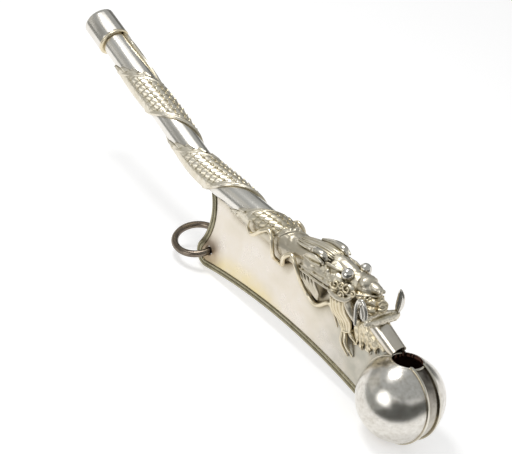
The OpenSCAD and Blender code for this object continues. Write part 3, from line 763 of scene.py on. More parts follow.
# %% Keel border
reed_r, reed_rise, reed_insets = 0.38, 0.08, (0.4, 1.2)
bead_r, bead_rise, bead_inset, bead_gap = 0.2, 0.14, 0.8, 0.46
for side, name in both:
    reeds = [sweep(along_edge(inset, reed_rise, side), reed_r, sides=12, flat=0.55, across=across_keel)
             for inset in reed_insets]
    beads = [ball(p, bead_r, sides=8) for p in evenly(along_edge(bead_inset, bead_rise, side), bead_gap)]
    piece("moulding_" + name, joined(reeds + beads), edge_silver, ["keel_moulding_" + name])
print("keel border is", round(len(beads) * bead_gap), "mm long")

# %% [markdown]
# ## Shackle ring
# The ring is a bent wire, dark with tarnish and a little uneven where it has rubbed in its eye. A torus
# would be too perfect, so the wire's radius changes slightly round the loop. It rides on its own body and
# swings.

# %% Shackle ring
ring_r, ring_wire_r, ring_wear = 5.25, 0.84, 0.01
ring_dip, ring_lean = math.radians(2), math.radians(19)
ring_back = np.array((-math.cos(ring_dip), 0, -math.sin(ring_dip)))
ring_side = np.array((-math.sin(ring_lean) * math.sin(ring_dip), math.cos(ring_lean),
                      math.sin(ring_lean) * math.cos(ring_dip)))
ring_up = np.cross(ring_back, ring_side)
wire_turn = full_turn(16)[:, None]
ring_rows = []
for t in full_turn(96)[::-1]:
    out = math.cos(t) * ring_back + math.sin(t) * ring_side
    worn = ring_wire_r * (1 - ring_wear + ring_wear * math.sin(5 * t))
    wire = np.cos(wire_turn) * out + np.sin(wire_turn) * ring_up
    ring_rows.append(ring_eye + ring_r * (ring_back + out) + worn * wire)
piece("ring", rings(np.array(ring_rows), close_rows=True), dark_silver, ["shackle_ring"],
      "shackle")
print("ring is", 2 * (ring_r + ring_wire_r), "mm across")

# %% [markdown]
# ## The dragon's body
# The body is a crowned strip that winds round the gun, from a thin tail at the ferrule to the neck. A
# modifier could bend a flat strip round the gun, but not round its bend as well. So two formulas give the
# places of its edges along the gun for any winding angle. It widens within its first turn and then keeps
# its width.

# %% The strip's edges
coil_pitch, coil_w, coil_start, coil_first = 25.7, 15.7, 14.0, math.radians(225)
coil_from, coil_to, tail_turn = math.radians(20), math.radians(1150), math.radians(215)
head_len, coil_gap = 23.6, 0.08
neck_s = bend_a_end + bend_b_x - head_len - bend_a_x - bend_a_back
tail_s = ferrule_len + 0.1


def coil_upper(a):
    """Where the body's upper edge is along the gun, at a winding angle."""
    return np.maximum(tail_s, coil_start + (a - coil_first) * coil_pitch / (2 * np.pi))


def coil_lower(a):
    """Where the body's lower edge is along the gun."""
    tail = (coil_start + coil_w - tail_s) * np.clip((coil_first - a) / tail_turn, 0, 1) ** 5
    full = coil_start + coil_w + np.maximum(a - coil_first, 0) * coil_pitch / (2 * np.pi)
    return np.minimum(neck_s - 0.05, full - tail)


print("body winds", round((coil_to - coil_from) / (2 * math.pi), 2), "times round the gun")

# %% [markdown]
# Its scales could be thousands of small plates. A height is lighter: every scale is a tilted disc whose
# free tip points to the tail and covers the root of the next one. Under the gun the body is smooth, and a
# fine rope edge runs along both sides.

# %% Scales
scale_long, scale_wide, scale_tip, scale_half = 1.3, 1.9, 1.75, 1.02
scale_deep, scale_root, between_scales = 0.62, -0.2, 0.1


def step(x, low, high):
    """Rise smoothly from 0 at low to 1 at high."""
    t = np.clip((x - low) / (high - low), 0, 1)
    return t * t * (3 - 2 * t)


def scale_height(towards_tail, across):
    """Height of overlapping scales, from 0 at a root to 1 at a tip."""
    height = np.full(towards_tail.shape, between_scales)
    found = np.zeros(towards_tail.shape, bool)
    row = np.floor(towards_tail / scale_long)
    for back in (-2, -1, 0, 1):
        r = row + back
        shift = np.mod(r, 2) * scale_wide / 2
        column = np.round((across - shift) / scale_wide)
        along, aside = towards_tail - r * scale_long, across - column * scale_wide - shift
        inside = (along / scale_tip) ** 2 + (aside / scale_half) ** 2 < 1
        inside &= along > scale_root
        # A ridge along the scale's middle rises from root to tip
        ridge = 0.35 + 0.6 * along / scale_tip - 0.4 * (aside / scale_half) ** 2
        height = np.where(inside & ~found, ridge, height)
        found |= inside
    return height


print("scales are", scale_long, "mm apart and stand up by", scale_deep, "mm")

# %% [markdown]
# The scales are one part of the body's rise. A crown across the strip, the rope edges and a fade to the
# smooth underside complete it, each by the share of the strip's width.

# %% The body's rise
def body_height(a, v, s):
    """Rise of the body above the gun at winding angle a, share v of its width and length s along the gun."""
    r = gun_r + 0.5
    length = math.hypot(coil_pitch, 2 * np.pi * r)
    towards_tail = -(s * coil_pitch + a * r * 2 * np.pi * r) / length
    across = (s * 2 * np.pi * r - a * r * coil_pitch) / length
    # The scales fade out under the gun and on the thin tail, and stop short of the edges
    open_side = step(np.cos(a), -0.1, 0.2) * step(a, math.radians(120), math.radians(235))
    field = step(v, 0.13, 0.17) * (1 - step(v, 0.86, 0.9))
    crown = 0.3 + 0.42 * np.sin(np.pi * v) ** 0.7
    # A rope 0.2 mm high along the lower edge, and a finer one along the upper edge
    rope = 0.2 * np.exp(-((v - 0.955) / 0.025) ** 2) + 0.16 * np.exp(-((v - 0.1) / 0.02) ** 2)
    return crown + rope + field * open_side * scale_deep * (scale_height(towards_tail, across) - 0.5)


# %% [markdown]
# The strip is a fine grid on the gun's skin, raised by that height, with a plain underside close to the
# gun. Its steps are one to two tenths of a millimetre, fine enough for a scale's edge.

# %% Coil
coil_step, coil_columns, under_step, under_gap = math.radians(1.6), 96, 12, 0.03
turn_grid, share_grid = np.meshgrid(np.arange(coil_from, coil_to, coil_step), np.linspace(0, 1, coil_columns),
                                    indexing="ij")
s_grid = coil_upper(turn_grid) + share_grid * (coil_lower(turn_grid) - coil_upper(turn_grid))
coil_top = on_gun(s_grid, turn_grid, coil_gap + body_height(turn_grid, share_grid, s_grid))
coil_under = on_gun(s_grid[:, ::-under_step], turn_grid[:, ::-under_step], under_gap)
coil = piece("dragon_body", capped(np.concatenate((coil_top, coil_under), axis=1)), cast_silver,
             ["dragon_coil"])
crisp(coil, 60)
print("body:", len(coil.data.polygons), "faces")

# %% [markdown]
# Along the upper edge stand flat fins like leaves, each with a raised rib, and each overlapping the next.
# One formula bends a leaf over the gun, so that it lies snug wherever it is rooted.

# %% Fins
fin_len, fin_half, fin_step, fin_foot = 2.3, math.radians(14), 36, 0.02
under_gun = -0.95


def fin(a):
    """One fin, rooted on the body's upper edge at winding angle a, leaning towards the tail."""
    u, w = np.meshgrid(np.linspace(-1, 1, 13), np.linspace(0, 1, 9), indexing="ij")
    # u runs across the leaf and w from its root to its tip, where it is narrow
    narrow = np.sqrt(np.clip(1 - w ** 2.2, 0.002, 1))
    angle = a + fin_half * (u * narrow - 0.9 * w)
    s = coil_upper(a) + (angle - a) * coil_pitch / (2 * np.pi) * 0.6 + 0.5 - fin_len * 0.8 * w
    rib = 0.1 * np.exp(-((u + 0.2) / 0.2) ** 2)
    rise = 0.12 + (0.5 - 0.25 * w) * (1 - 0.75 * np.abs(u + 0.25) ** 1.3) + rib
    top = on_gun(s, angle, np.maximum(rise, 0.1))
    return capped(np.concatenate((top, on_gun(s, angle, fin_foot)[:, ::-1]), axis=1), inside_out=True)


fin_angles = [math.radians(a) for a in range(250, 1011, fin_step)]
fins = [fin(a) for a in fin_angles if math.cos(a) > under_gun]
crisp(piece("dragon_back_fins", joined(fins), cast_silver, ["dragon_fins"]), 60)
print(len(fins), "fins")

# %% [markdown]
# ## The dragon's head
# The head was cast solid and soldered over the gun's wind end. Eggs make its skull, cheeks and nose,
# tapered tubes make its brows, lips and locks, and all of them melt into one skin. Eyes, horns, ears,
# tusks, jaw and tongue stay pieces of their own, as the solids have them.

# %% Places on the head
head_side = 0.9


def on_head(p):
    """A place or places on the head, given from the gun's second bend on the head's own middle plane."""
    return np.asarray(p, float) + np.array((bend_b_x, -head_side, gun_lift))


def on_keel(p, side):
    """Places on one side of the keel, given from the second bend and the plate's middle."""
    p = np.asarray(p, float)
    return np.stack((bend_b_x + p[..., 0], side * p[..., 1], gun_lift + p[..., 2]), axis=-1)


print("head's middle plane lies", head_side, "mm left of the gun's")

# %% [markdown]
# A few kinds of form make up the whole head: tapered tubes, eggs, and flat spirals of wire. Left and
# right are alike in most of them, so one list of places serves both sides.

# %% Forms on the head
def horn_like(points, per=8, sides=14, flat=1.0, across=None):
    """A tapered tube through (x, y, z, radius) places on the head."""
    way = curve_through(points, per)
    return sweep(on_head(way[:, :3]), way[:, 3], sides, flat, across)


def strand(points, side, per=8, sides=10):
    """A tapered tube through (x, y, z, radius) places on one side of the keel."""
    way = curve_through(points, per)
    return sweep(on_keel(way[:, :3], side), way[:, 3], sides)


def egg(centre, radii, turn_y=0.0):
    """An egg on the head."""
    return ball(on_head(centre), radii, turn_y)


def both_sides(*rows):
    """Tubes on the head's left and right side: the second number of each place changes sign."""
    return [horn_like([(x, s * y, *rest) for x, y, *rest in row]) for row in rows for s in (-1, 1)]


def curl(centre, radius, thick, loops, face, start=0.0):
    """A flat spiral of wire whose face looks along a direction."""
    face = np.asarray(face, float) / np.linalg.norm(face)
    first = np.cross(face, (0, 0, 1.0))
    first /= np.linalg.norm(first)
    second = np.cross(face, first)
    # Towards the spiral's eye, t = 1, the wire thins and climbs a little
    t = np.linspace(0, 1, int(26 * loops))[:, None]
    turn = start + 2 * np.pi * loops * t
    spiral = radius * (1 - 0.85 * t) * (np.cos(turn) * first + np.sin(turn) * second)
    way = np.asarray(centre, float) + spiral + 0.25 * t * thick * face
    return sweep(on_head(way), thick * (1 - 0.3 * t[:, 0]), sides=8)


# %% [markdown]
# The skull is built up like clay: the neck, two eggs for the skull, a ridge for the snout, and smaller
# eggs for cheeks and nose. Sculpting by hand could do it too, but a list can be read and changed.

# %% Skull, brows, cheeks and lips
skull = [horn_like([(-23.4, 0.4, 0, 3.5), (-20, 0.3, 0.2, 3.4), (-16, 0.15, 0.8, 3.5), (-12, 0, 1.6, 3.75)],
                   per=4, sides=28),
         egg((-11, 0, 2.0), (4.6, 3.7, 3.9)), egg((-6.4, 0, 2.6), (4.6, 3.6, 3.5), 12),
         horn_like([(-10.0, 0, 4.0, 2.1), (-6.8, 0, 4.6, 2.0), (-4.0, 0, 4.7, 1.8), (-1.6, 0, 4.6, 1.4)],
                   per=6, sides=24),
         egg((-2.2, 0, 3.2), (4.2, 2.9, 3.0), -10), egg((1.0, 0, 4.2), (2.8, 2.4, 2.0), -8),
         egg((0.9, 0, 5.3), (1.9, 2.35, 1.6), -10), egg((2.9, 0, 5.4), (2.4, 1.3, 1.1), -6)]
for s in (-1, 1):
    skull += [egg((-4.8, s * 2.4, 2.3), (2.8, 1.9, 2.4)), egg((-1.0, s * 2.9, 3.0), (1.7, 1.2, 1.4)),
              egg((-9.2, s * 3.1, 2.4), (2.4, 1.1, 1.9)), egg((-12.6, s * 3.2, 1.5), (2.6, 1.1, 2.1))]
brows = both_sides([(-11.3, 2.7, 4.0, 0.3), (-8.4, 3.0, 4.7, 0.4), (-6.0, 2.9, 5.1, 0.4),
                    (-4.2, 2.4, 5.4, 0.3)])
lips = both_sides([(-1.2, 3.9, 2.4, 0.3), (0.2, 3.9, 2.7, 0.34), (1.2, 3.4, 3.2, 0.36), (2.6, 2.2, 3.7, 0.32),
                   (4.0, 1.0, 4.1, 0.3), (4.6, 0.0, 4.3, 0.3)],
                  [(-5.0, 3.8, 0.2, 0.6), (-2.6, 4.2, 0.4, 0.65), (-0.2, 4.2, 1.2, 0.6),
                   (0.8, 3.9, 2.4, 0.4)])
print(len(skull), "forms in the skull")

# %% [markdown]
# Curls of hair grow from the cheeks, and a flat lock hangs behind each cheek down to the keel. The mould
# left a grainy skin between them, which small balls of seeded random sizes give.

# %% Cheek curls, grain and locks
hair, curls = [], []
bumps = np.random.default_rng(3)
grain_count = 16
lock_strands = 5
for s in (-1, 1):
    out = (0.25, s, 0.25)
    curls += [curl((-3.8, s * 4.4, 2.9), 1.1, 0.27, 1.2, out, 0.4),
              curl((-2.1, s * 4.3, 3.4), 0.8, 0.24, 1.5, out, 3.4),
              curl((-0.6, s * 4.2, 3.6), 1.0, 0.27, 1.1, out, 5.2),
              curl((0.9, s * 3.8, 3.5), 0.7, 0.24, 1.2, out, 1.6),
              curl((-1.6, s * 4.4, 1.7), 0.85, 0.25, 1.3, out, 2.3)]
    grain = zip(bumps.uniform(-9.5, -4.4, grain_count), bumps.uniform(0.8, 3.9, grain_count))
    hair += [egg((x, s * (3.7 - 0.1 * abs(x + 7.0)), z), bumps.uniform(0.35, 0.6)) for x, z in grain]
    hair.append(horn_like([(-0.6, s * 3.4, 1.0, 0.8), (0.6, s * 3.2, -0.2, 0.95), (1.6, s * 2.9, -1.6, 0.7),
                           (2.4, s * 2.4, -2.8, 0.4)]))
    hair.append(egg((5.0, s * 0.55, 5.6), (0.5, 0.45, 0.45)))
    for y, z in ((3.7, 3.4), (3.95, 2.4), (4.05, 1.3), (4.0, 0.3)):
        hair.append(horn_like([(-5.6, s * (y + 0.15), z + 0.2, 0.3), (-8.6, s * (y - 0.05), z - 0.3, 0.34),
                               (-11.8, s * (y + 0.02), z - 0.5, 0.32), (-15.4, s * (y - 0.1), z - 0.9, 0.15)],
                              per=6, sides=8))
locks = [strand([(-13.4 + 2.3 * t, 4.5, 0.6 + 0.9 * t, 0.3), (-12.2 + 1.9 * t, 4.1, -1.8 + 0.4 * t, 0.38),
                 (-11.0 + 1.2 * t, 2.5, -4.4 + 0.2 * t, 0.36), (-10.6 + 0.3 * t, 1.3, -6.6, 0.2)],
                s, per=6, sides=8)
         for s in (-1, 1) for t in np.linspace(-1, 1, lock_strands)]
print(len(curls), "curls and", len(locks), "strands in the two locks")

# %% [markdown]
# The scales of the body run on over the neck and end at a slanted ridge, which lies nearer the tail on
# the left than on the right. They are eggs half sunk in the neck, because the casting melts them into its
# skin in any case.

# %% Neck
edge_x, edge_turn, edge_slope, edge_out, edge_r = -20.0, 60, 4 / 123, 3.5, 0.24
neck_start, neck_out, neck_scale_r, neck_scale_gap, neck_scale_turn = -23.3, 3.12, 0.6, 1.05, 17


def neck_edge(turn):
    """Where the scales end on the neck, at an angle in degrees from the top towards the right."""
    return edge_x - (edge_turn - turn) * edge_slope


def on_neck(x, turn, out):
    """A place on the neck at a distance out from its middle."""
    return x, 0.3 + out * math.sin(math.radians(turn)), 0.1 + out * math.cos(math.radians(turn))


neck = []
for k, turn in enumerate(range(-45, 101, neck_scale_turn)):
    first = neck_start + neck_scale_gap / 2 * (k % 2)
    neck += [egg(on_neck(x, turn, neck_out), neck_scale_r)
             for x in np.arange(first, neck_edge(turn) - 0.4, neck_scale_gap)]
neck.append(horn_like([(*on_neck(neck_edge(turn), turn, edge_out), edge_r) for turn in range(-63, 121, 30)]))
print(len(neck) - 1, "scales on the neck")

# %% [markdown]
# Everything so far melts into the head's casting. The curls stay apart, because they carry the gold finish.
# The head is browner where the neck meets the gun, and the last turn of the body next to it is darkened as a
# painted darker reflection.

# %% The head's casting
head = cast("dragon_head_cast", skull + brows + lips + hair + neck + locks, head_silver, ["dragon_head"],
            voxel=0.11, soften=2, lump_mm=0.9, lump_deep=0.07)
stain_and_shade(head_silver, head, on_keel((-19.5, 3.6, 1.0), -1), radius=2.0, reach_mm=4.0, colour="#7F745C",
      share=0.3)
# Painted darker reflection: the last turn of the body is greyed round a place near the neck
stain_and_shade(cast_silver, coil, on_keel((-26.0, 1.0, 2.0), -1), radius=3.0, reach_mm=8.0, colour="#9A8E70",
      share=0.45)
piece("dragon_cheek_curls", joined(curls), gilt_silver, ["dragon_head"])

# %% [markdown]
# The mane lies back from the forehead between the horns in strands that sway a little. Blender's hair
# would be too fine for cast silver, so each strand is a tapered tube.

# %% Mane
mane_strands = 9
strands = []
for k, y in enumerate(np.linspace(-2.7, 1.9, mane_strands)):
    low = 0.11 * y * y - 0.1 * (k % 2)
    sway = 0.14 * math.sin(2.1 * k)
    strands.append(horn_like([(-8.4 + 0.5 * sway, 0.9 * y, 6.1 - low, 0.1), (-9.8, y, 6.1 - low, 0.34),
                              (-12.5, y + sway, 5.7 - 0.9 * low, 0.4),
                              (-15.4, 0.95 * y - sway, 4.9 - 0.8 * low, 0.38),
                              (-17.6, 0.9 * y, 4.25 - 0.6 * low, 0.3),
                              (-19.4, 0.8 * y + sway, 3.85 - 0.5 * low, 0.1)], per=6, sides=10))
piece("dragon_mane_strands", joined(strands), cast_silver, ["dragon_mane"])
print(len(strands), "strands in the mane")

# %% [markdown]
# Horns, ears and eyes were soldered on one by one. A horn is a tapered tube, an ear is a flat leaf with a
# rolled edge on both sides, and the casting rounds them off. An eye is a bead. The left horn was pressed
# flatter against the head, so it sits lower and farther out.

# %% Horns, ears and eyes
left_horn_sunk, eye_r = 0.9, 1.42
for s, name in both:
    sunk = left_horn_sunk if s < 0 else 0.0
    horn = horn_like([(-8.4 - sunk, s * (2.0 + sunk), 6.0 - sunk, 0.6),
                      (-9.4 - sunk, s * (2.1 + sunk), 6.4 - sunk, 1.0),
                      (-11.4 - sunk, s * (2.2 + sunk), 6.3 - sunk, 0.95),
                      (-13.6, s * (2.2 + 0.5 * sunk), 5.7 - sunk, 0.75),
                      (-15.8, s * 2.2, 5.0 - sunk, 0.4)], per=8, sides=18)
    cast("dragon_horn_cast_" + name, [horn], wire_silver, ["dragon_horn_" + name],
         voxel=0.09, soften=3)
    ear = [horn_like([(-9.0, s * 3.7, 4.4, 0.5), (-10.4, s * 4.1, 4.6, 0.95), (-12.2, s * 4.2, 4.3, 0.9),
                      (-14.4, s * 4.1, 3.2, 0.2)], per=8, sides=16, flat=0.45, across=(0, 1, 0.3)),
           horn_like([(-9.2, s * 4.3, 4.9, 0.25), (-11.0, s * 4.6, 5.3, 0.3), (-13.0, s * 4.5, 4.6, 0.25),
                      (-14.6, s * 4.2, 3.2, 0.12)], per=8, sides=8),
           horn_like([(-9.4, s * 4.3, 3.9, 0.25), (-11.2, s * 4.55, 3.5, 0.28), (-13.2, s * 4.4, 3.3, 0.22),
                      (-14.6, s * 4.2, 3.1, 0.12)], per=8, sides=8)]
    cast("dragon_ear_cast_" + name, ear, cast_silver, ["dragon_ear_" + name],
         voxel=0.08, soften=2)
    piece("dragon_eye_bead_" + name, ball(on_head((-2.8, s * 2.6, 5.6)), eye_r, sides=32), polished_silver,
          ["dragon_eye_" + name])

# %% [markdown]
# The mouth is open. Its inside is grainy gold-coloured metal with a curled tongue. A bump map would give
# the grain, but not in its outline, so the grains are small balls that the casting half swallows.

# %% Tongue
grains = np.random.default_rng(7)
mouth_grains = 70
mouth_mass = [egg((1.6, 0, 2.9), (2.4, 3.1, 1.5), -6), egg((4.0, 0, 2.7), (2.0, 2.4, 1.2), -8),
              horn_like([(2.4, 0, 2.2, 0.9), (4.4, 0, 1.9, 0.95), (6.0, 0, 2.2, 0.95), (6.8, 0, 3.2, 0.8)],
                        per=6, sides=14)]
for _ in range(mouth_grains):
    a, b = grains.uniform(-1.4, 1.4), grains.uniform(-0.1, 1.2)
    centre = (2.6 + 2.7 * math.cos(a) * math.cos(b), 3.0 * math.sin(a) * math.cos(b), 2.7 + 1.5 * math.sin(b))
    mouth_mass.append(ball(on_head(centre), grains.uniform(0.2, 0.36), sides=8))
mouth_mass += [curl((6.7, -0.6, 3.6), 1.15, 0.34, 1.7, (0.6, -0.65, 0.45), 1.2),
               egg((6.3, -0.2, 3.3), (0.9, 1.0, 0.9)), egg((4.9, 0, 1.6), (2.0, 3.0, 1.2))]
cast("dragon_tongue_cast", mouth_mass, gilt_silver, ["dragon_tongue"],
     voxel=0.09, soften=1, lump_mm=0.5, lump_deep=0.1)

# %% [markdown]
# The lower jaw is a bar across the mouth. Its underside was knurled with a punch, in rows that are set
# off from each other by half a step, so the knurls are balls too.

# %% Jaw
knurl_r, knurl_gap, knurl_out, knurl_rows = 0.24, 0.44, 0.72, 4
jaw = [horn_like([(7.3, -4.6, 0.3, 0.62), (7.4, -3.6, 0.15, 0.8), (7.45, 0, 0.1, 0.8), (7.4, 3.6, 0.15, 0.8),
                  (7.3, 4.7, 0.3, 0.6)], per=8, sides=18),
       horn_like([(6.9, -4.4, 0.9, 0.4), (6.6, -2.2, 1.1, 0.45), (6.5, 0, 1.15, 0.5), (6.6, 2.2, 1.1, 0.45),
                  (6.9, 4.4, 0.9, 0.4)], per=6, sides=12)]
for row in range(knurl_rows):
    turn = math.radians(-20 - 34 * row)
    for y in np.arange(-3.9 + knurl_gap / 2 * (row % 2), 4.0, knurl_gap):
        jaw.append(egg((7.42 + knurl_out * math.cos(turn), y, 0.12 + knurl_out * math.sin(turn)), knurl_r))
cast("dragon_jaw_cast", jaw, cast_silver, ["dragon_jaw"],
     voxel=0.08, soften=1, lump_mm=0.45, lump_deep=0.1)

# %% [markdown]
# One tusk hooks over beside the mouth, and the other stands up like a leaf with a rib. They could be cut
# from sheet, but then their edges would be sharp. Flat tubes melted together have soft ones.

# %% Tusks
hook = [horn_like([(6.7, -4.5, 0.8, 0.5), (6.3, -4.6, 2.2, 0.5), (5.5, -4.7, 3.5, 0.52),
                   (4.5, -4.75, 4.1, 0.52), (3.7, -4.7, 3.5, 0.5), (3.5, -4.6, 2.0, 0.48),
                   (3.9, -4.5, 0.1, 0.46), (4.4, -4.4, -1.9, 0.36)],
                  per=8, sides=12, flat=0.75, across=across_keel),
        horn_like([(5.4, -4.1, 0.3, 0.5), (5.1, -4.2, 1.5, 0.7), (4.7, -4.25, 2.6, 0.62),
                   (4.5, -4.2, 3.4, 0.3)], per=8, sides=14, flat=0.5, across=across_keel),
        horn_like([(5.6, -3.7, 0.0, 0.4), (4.4, -3.3, 0.4, 0.5), (3.2, -3.2, 1.2, 0.5)], per=6, sides=10)]
cast("dragon_tusk_cast_left", hook, polished_silver, ["dragon_tusk_left"],
     voxel=0.08, soften=2)
blade = [horn_like([(7.1, 4.5, 0.6, 0.45), (7.0, 4.75, 2.2, 0.95), (6.7, 4.8, 4.0, 0.92),
                    (6.3, 4.6, 5.4, 0.55), (6.1, 4.45, 6.1, 0.12)],
                   per=8, sides=16, flat=0.5, across=(0.8, -0.5, 0.2)),
         horn_like([(7.3, 4.4, 1.0, 0.22), (7.25, 4.55, 2.6, 0.26), (6.95, 4.6, 4.2, 0.22),
                    (6.4, 4.5, 5.7, 0.1)], per=8, sides=8)]
cast("dragon_tusk_cast_right", blade, polished_silver, ["dragon_tusk_right"],
     voxel=0.07, soften=2)

# %% [markdown]
# ## Whiskers, legs and flames
# Thin wires loop from the gun's flank over the keel, as whiskers do in a gust. They are bent by eye, so
# their route is a list of places, and a smooth curve through them carries the tube.

# %% Whiskers
whisker_way = [(-32.5, 4.8, 0.6), (-32.6, 4.75, -1.0), (-31.8, 4.3, -2.2), (-30.4, 4.45, -1.7),
               (-28.6, 4.7, 0.4), (-26.6, 4.45, 1.8), (-24.6, 4.8, 0.4), (-23.9, 4.05, -3.0),
               (-24.4, 1.9, -5.1), (-23.2, 1.35, -5.6), (-21.0, 3.4, -3.8), (-19.7, 5.1, -0.8),
               (-17.8, 5.2, 1.2), (-15.8, 5.3, 0.0), (-14.4, 4.0, -3.4), (-13.8, 1.55, -6.8),
               (-11.4, 1.1, -8.1), (-9.6, 1.1, -7.6), (-7.0, 1.3, -5.2), (-5.2, 1.1, -6.6),
               (-3.0, 1.1, -8.8)]
whisker_r, whisker_tip = 0.5, 0.35
for side, name in both:
    way = curve_through(on_keel(whisker_way, side), 10)
    share = np.linspace(0, 1, len(way))
    thick = whisker_r * np.minimum(1, whisker_tip + 6 * np.minimum(share, 1 - share))
    piece("dragon_whisker_wire_" + name, sweep(way, thick, sides=14), gilt_silver, ["dragon_whisker_" + name])
print("each whisker is", round(np.linalg.norm(np.diff(way, axis=0), axis=1).sum()), "mm long")

# %% [markdown]
# Each foreleg is a sheaf of ridges that narrows to a wrist, with a strap round it. One tube per ridge
# over a thicker core gives the folds round crests, which a bump map couldn't show in the outline.

# %% Forelegs
leg_ridges, strap_r = 5, 0.42
leg_core = [(-2.6, 3.9, -0.9), (-2.2, 3.0, -3.1), (-1.4, 1.3, -5.6), (-0.2, 0.95, -7.9)]
strap_way = [(-1.5, 0.8, -8.0), (-0.9, 1.5, -8.15), (-0.1, 1.6, -7.85), (0.7, 1.3, -7.3), (1.0, 0.8, -7.1)]


def swelling(way, shares, radii):
    """A radius for each point of a way, from radii at shares of its length."""
    return np.interp(np.linspace(0, 1, len(way)), shares, radii)


def foreleg(side):
    """Ridges, core and strap of one foreleg."""
    ridges = [strand([(-2.6 + 1.7 * t, 4.7 - 0.3 * t * t, -0.6 + 0.6 * t, 0.44),
                      (-2.2 + 1.7 * t, 3.85 - 0.2 * t * t, -3.0 + 0.6 * t, 0.48),
                      (-1.2 + 1.6 * t, 2.1 - 0.15 * t * t, -5.6 + 0.5 * t, 0.44),
                      (-0.1 + 0.9 * t, 1.5 - 0.1 * t * t, -7.9 + 0.4 * t, 0.32)], side)
              for t in np.linspace(-1, 1, leg_ridges)]
    core = curve_through(leg_core, 8)
    thick = swelling(core, (0, 1), (1.3, 0.8))
    strap = on_keel(curve_through(strap_way, 6), side)
    return ridges + [sweep(on_keel(core, side), thick, sides=14, flat=0.8, across=across_keel),
                     sweep(strap, strap_r, sides=10)]


print("a foreleg has", leg_ridges, "ridges")

# %% [markdown]
# Three claws of bent wire were soldered to each wrist. A tube whose radius swells at the knuckle and ends
# in a point is all they need.

# %% Claws
claw_ways = [((-1.1, 1.3, -8.4), (-0.2, 1.55, -11.0), (1.7, 0.75, -13.4)),
             ((-0.3, 1.4, -8.3), (1.0, 1.6, -10.6), (3.0, 0.75, -12.7)),
             ((0.6, 1.2, -7.6), (1.9, 1.35, -8.2), (3.1, 0.75, -9.3))]


def talons(side):
    """The claws of one foot."""
    ways = [curve_through(way, 10) for way in claw_ways]
    return [sweep(on_keel(way, side), swelling(way, (0, 0.3, 1), (0.5, 0.55, 0.14)), sides=12)
            for way in ways]


print("a foot has", len(claw_ways), "claws")

# %% [markdown]
# Flame tongues with a vein each fill the corner next to the buoy, over a lumpy sheet. Flat tubes overlap
# there and melt into one casting, like the foreleg.

# %% Flames
vein_rise = 0.3
flame_ways = [(((3.9, 0.8, -4.6), (3.9, 1.0, -6.4), (4.9, 0.75, -9.5)), 0.6),
              (((5.2, 0.8, -4.5), (5.2, 1.1, -6.6), (6.3, 0.75, -8.6)), 0.6),
              (((6.5, 0.8, -4.5), (6.4, 1.1, -6.6), (7.2, 0.75, -9.2)), 0.62),
              (((7.7, 0.8, -4.6), (7.7, 1.0, -6.2), (9.0, 0.75, -7.9)), 0.6)]
sheet_ways = [(((1.2, 0.9, -4.2), (2.1, 0.9, -6.6), (2.6, 0.75, -9.4)), 1.25, 0.6),
              (((3.4, 0.85, -5.0), (3.9, 0.85, -7.0), (4.4, 0.75, -9.0)), 1.2, 0.6),
              (((6.0, 0.85, -5.0), (6.2, 0.85, -6.8), (6.4, 0.75, -8.6)), 1.3, 0.7),
              (((8.0, 0.85, -4.6), (9.2, 0.85, -5.2), (10.4, 0.75, -5.7)), 1.0, 0.5),
              (((3.2, 0.9, -3.8), (5.6, 0.9, -4.9), (8.2, 0.8, -6.2)), 1.5, 1.5)]


def flames(side):
    """Tongues with their veins, then the sheet under them."""
    shapes = []
    for way, wide in flame_ways:
        way = curve_through(way, 8)
        tongue = swelling(way, (0, 0.4, 1), (wide, 1.1 * wide, 0.1))
        vein = swelling(way, (0, 1), (0.2, 0.06))
        shapes.append(sweep(on_keel(way, side), tongue, sides=12, flat=0.6, across=across_keel))
        shapes.append(sweep(on_keel(way + (0, vein_rise, 0), side), vein, sides=8))
    for way, first, last in sheet_ways:
        way = curve_through(way, 6)
        thick = swelling(way, (0, 1), (first, last))
        shapes.append(sweep(on_keel(way, side), thick, sides=14, flat=0.45, across=across_keel))
    return shapes


for side, name in both:
    cast("dragon_foreleg_cast_" + name, foreleg(side), gilt_silver, ["dragon_foreleg_" + name],
         voxel=0.08, soften=1)
    piece("dragon_talons_" + name, joined(talons(side)), gilt_silver, ["dragon_claws_" + name])
    cast("dragon_flames_cast_" + name, flames(side), gilt_silver, ["dragon_flames_" + name],
         voxel=0.08, soften=1, lump_mm=0.8, lump_deep=0.2)

# %% [markdown]
# ## Studio
# Silver shows its surroundings more than itself. The photograph was taken on white paper in a white tent,
# and the greys in every tube and ball are the room beyond it. A world of even white stands for the tent.
# It looks white when it is seen, but lights the call a little less than that.

# %% White tent
white_rays = ("Is Camera Ray", "Is Glossy Ray", "Is Transmission Ray")
white, tent_light = linear("#FFFFFF"), 0.55


def seen_directly(tree):
    """1 for rays from the camera or by way of a mirror or glass, 0 for those that only carry light."""
    path = add(tree, "ShaderNodeLightPath")
    total = path.outputs[white_rays[0]]
    for name in white_rays[1:]:
        larger = add(tree, "ShaderNodeMath", [(0, total), (1, path.outputs[name])], operation="MAXIMUM")
        total = larger.outputs[0]
    return total


tent = bpy.data.worlds.new("white tent")
scene.world = tent
tent.use_nodes = True
tree = tent.node_tree
lit = tree.nodes["Background"]
lit.inputs["Color"].default_value, lit.inputs["Strength"].default_value = white, tent_light
wall = add(tree, "ShaderNodeBackground", Color=white, Strength=1.0)
mix = add(tree, "ShaderNodeMixShader", [(0, seen_directly(tree)), (1, lit.outputs[0]), (2, wall.outputs[0])])
tree.links.new(tree.nodes["World Output"].inputs["Surface"], mix.outputs[0])
print("tent light:", tent_light)

# %% [markdown]
# The floor is matt paper. More light would make it white, but would bleach the silver too, so the paper's
# own brightness lifts it. The shadow under the call stays in it.

# %% Paper
paper_lift = 0.45
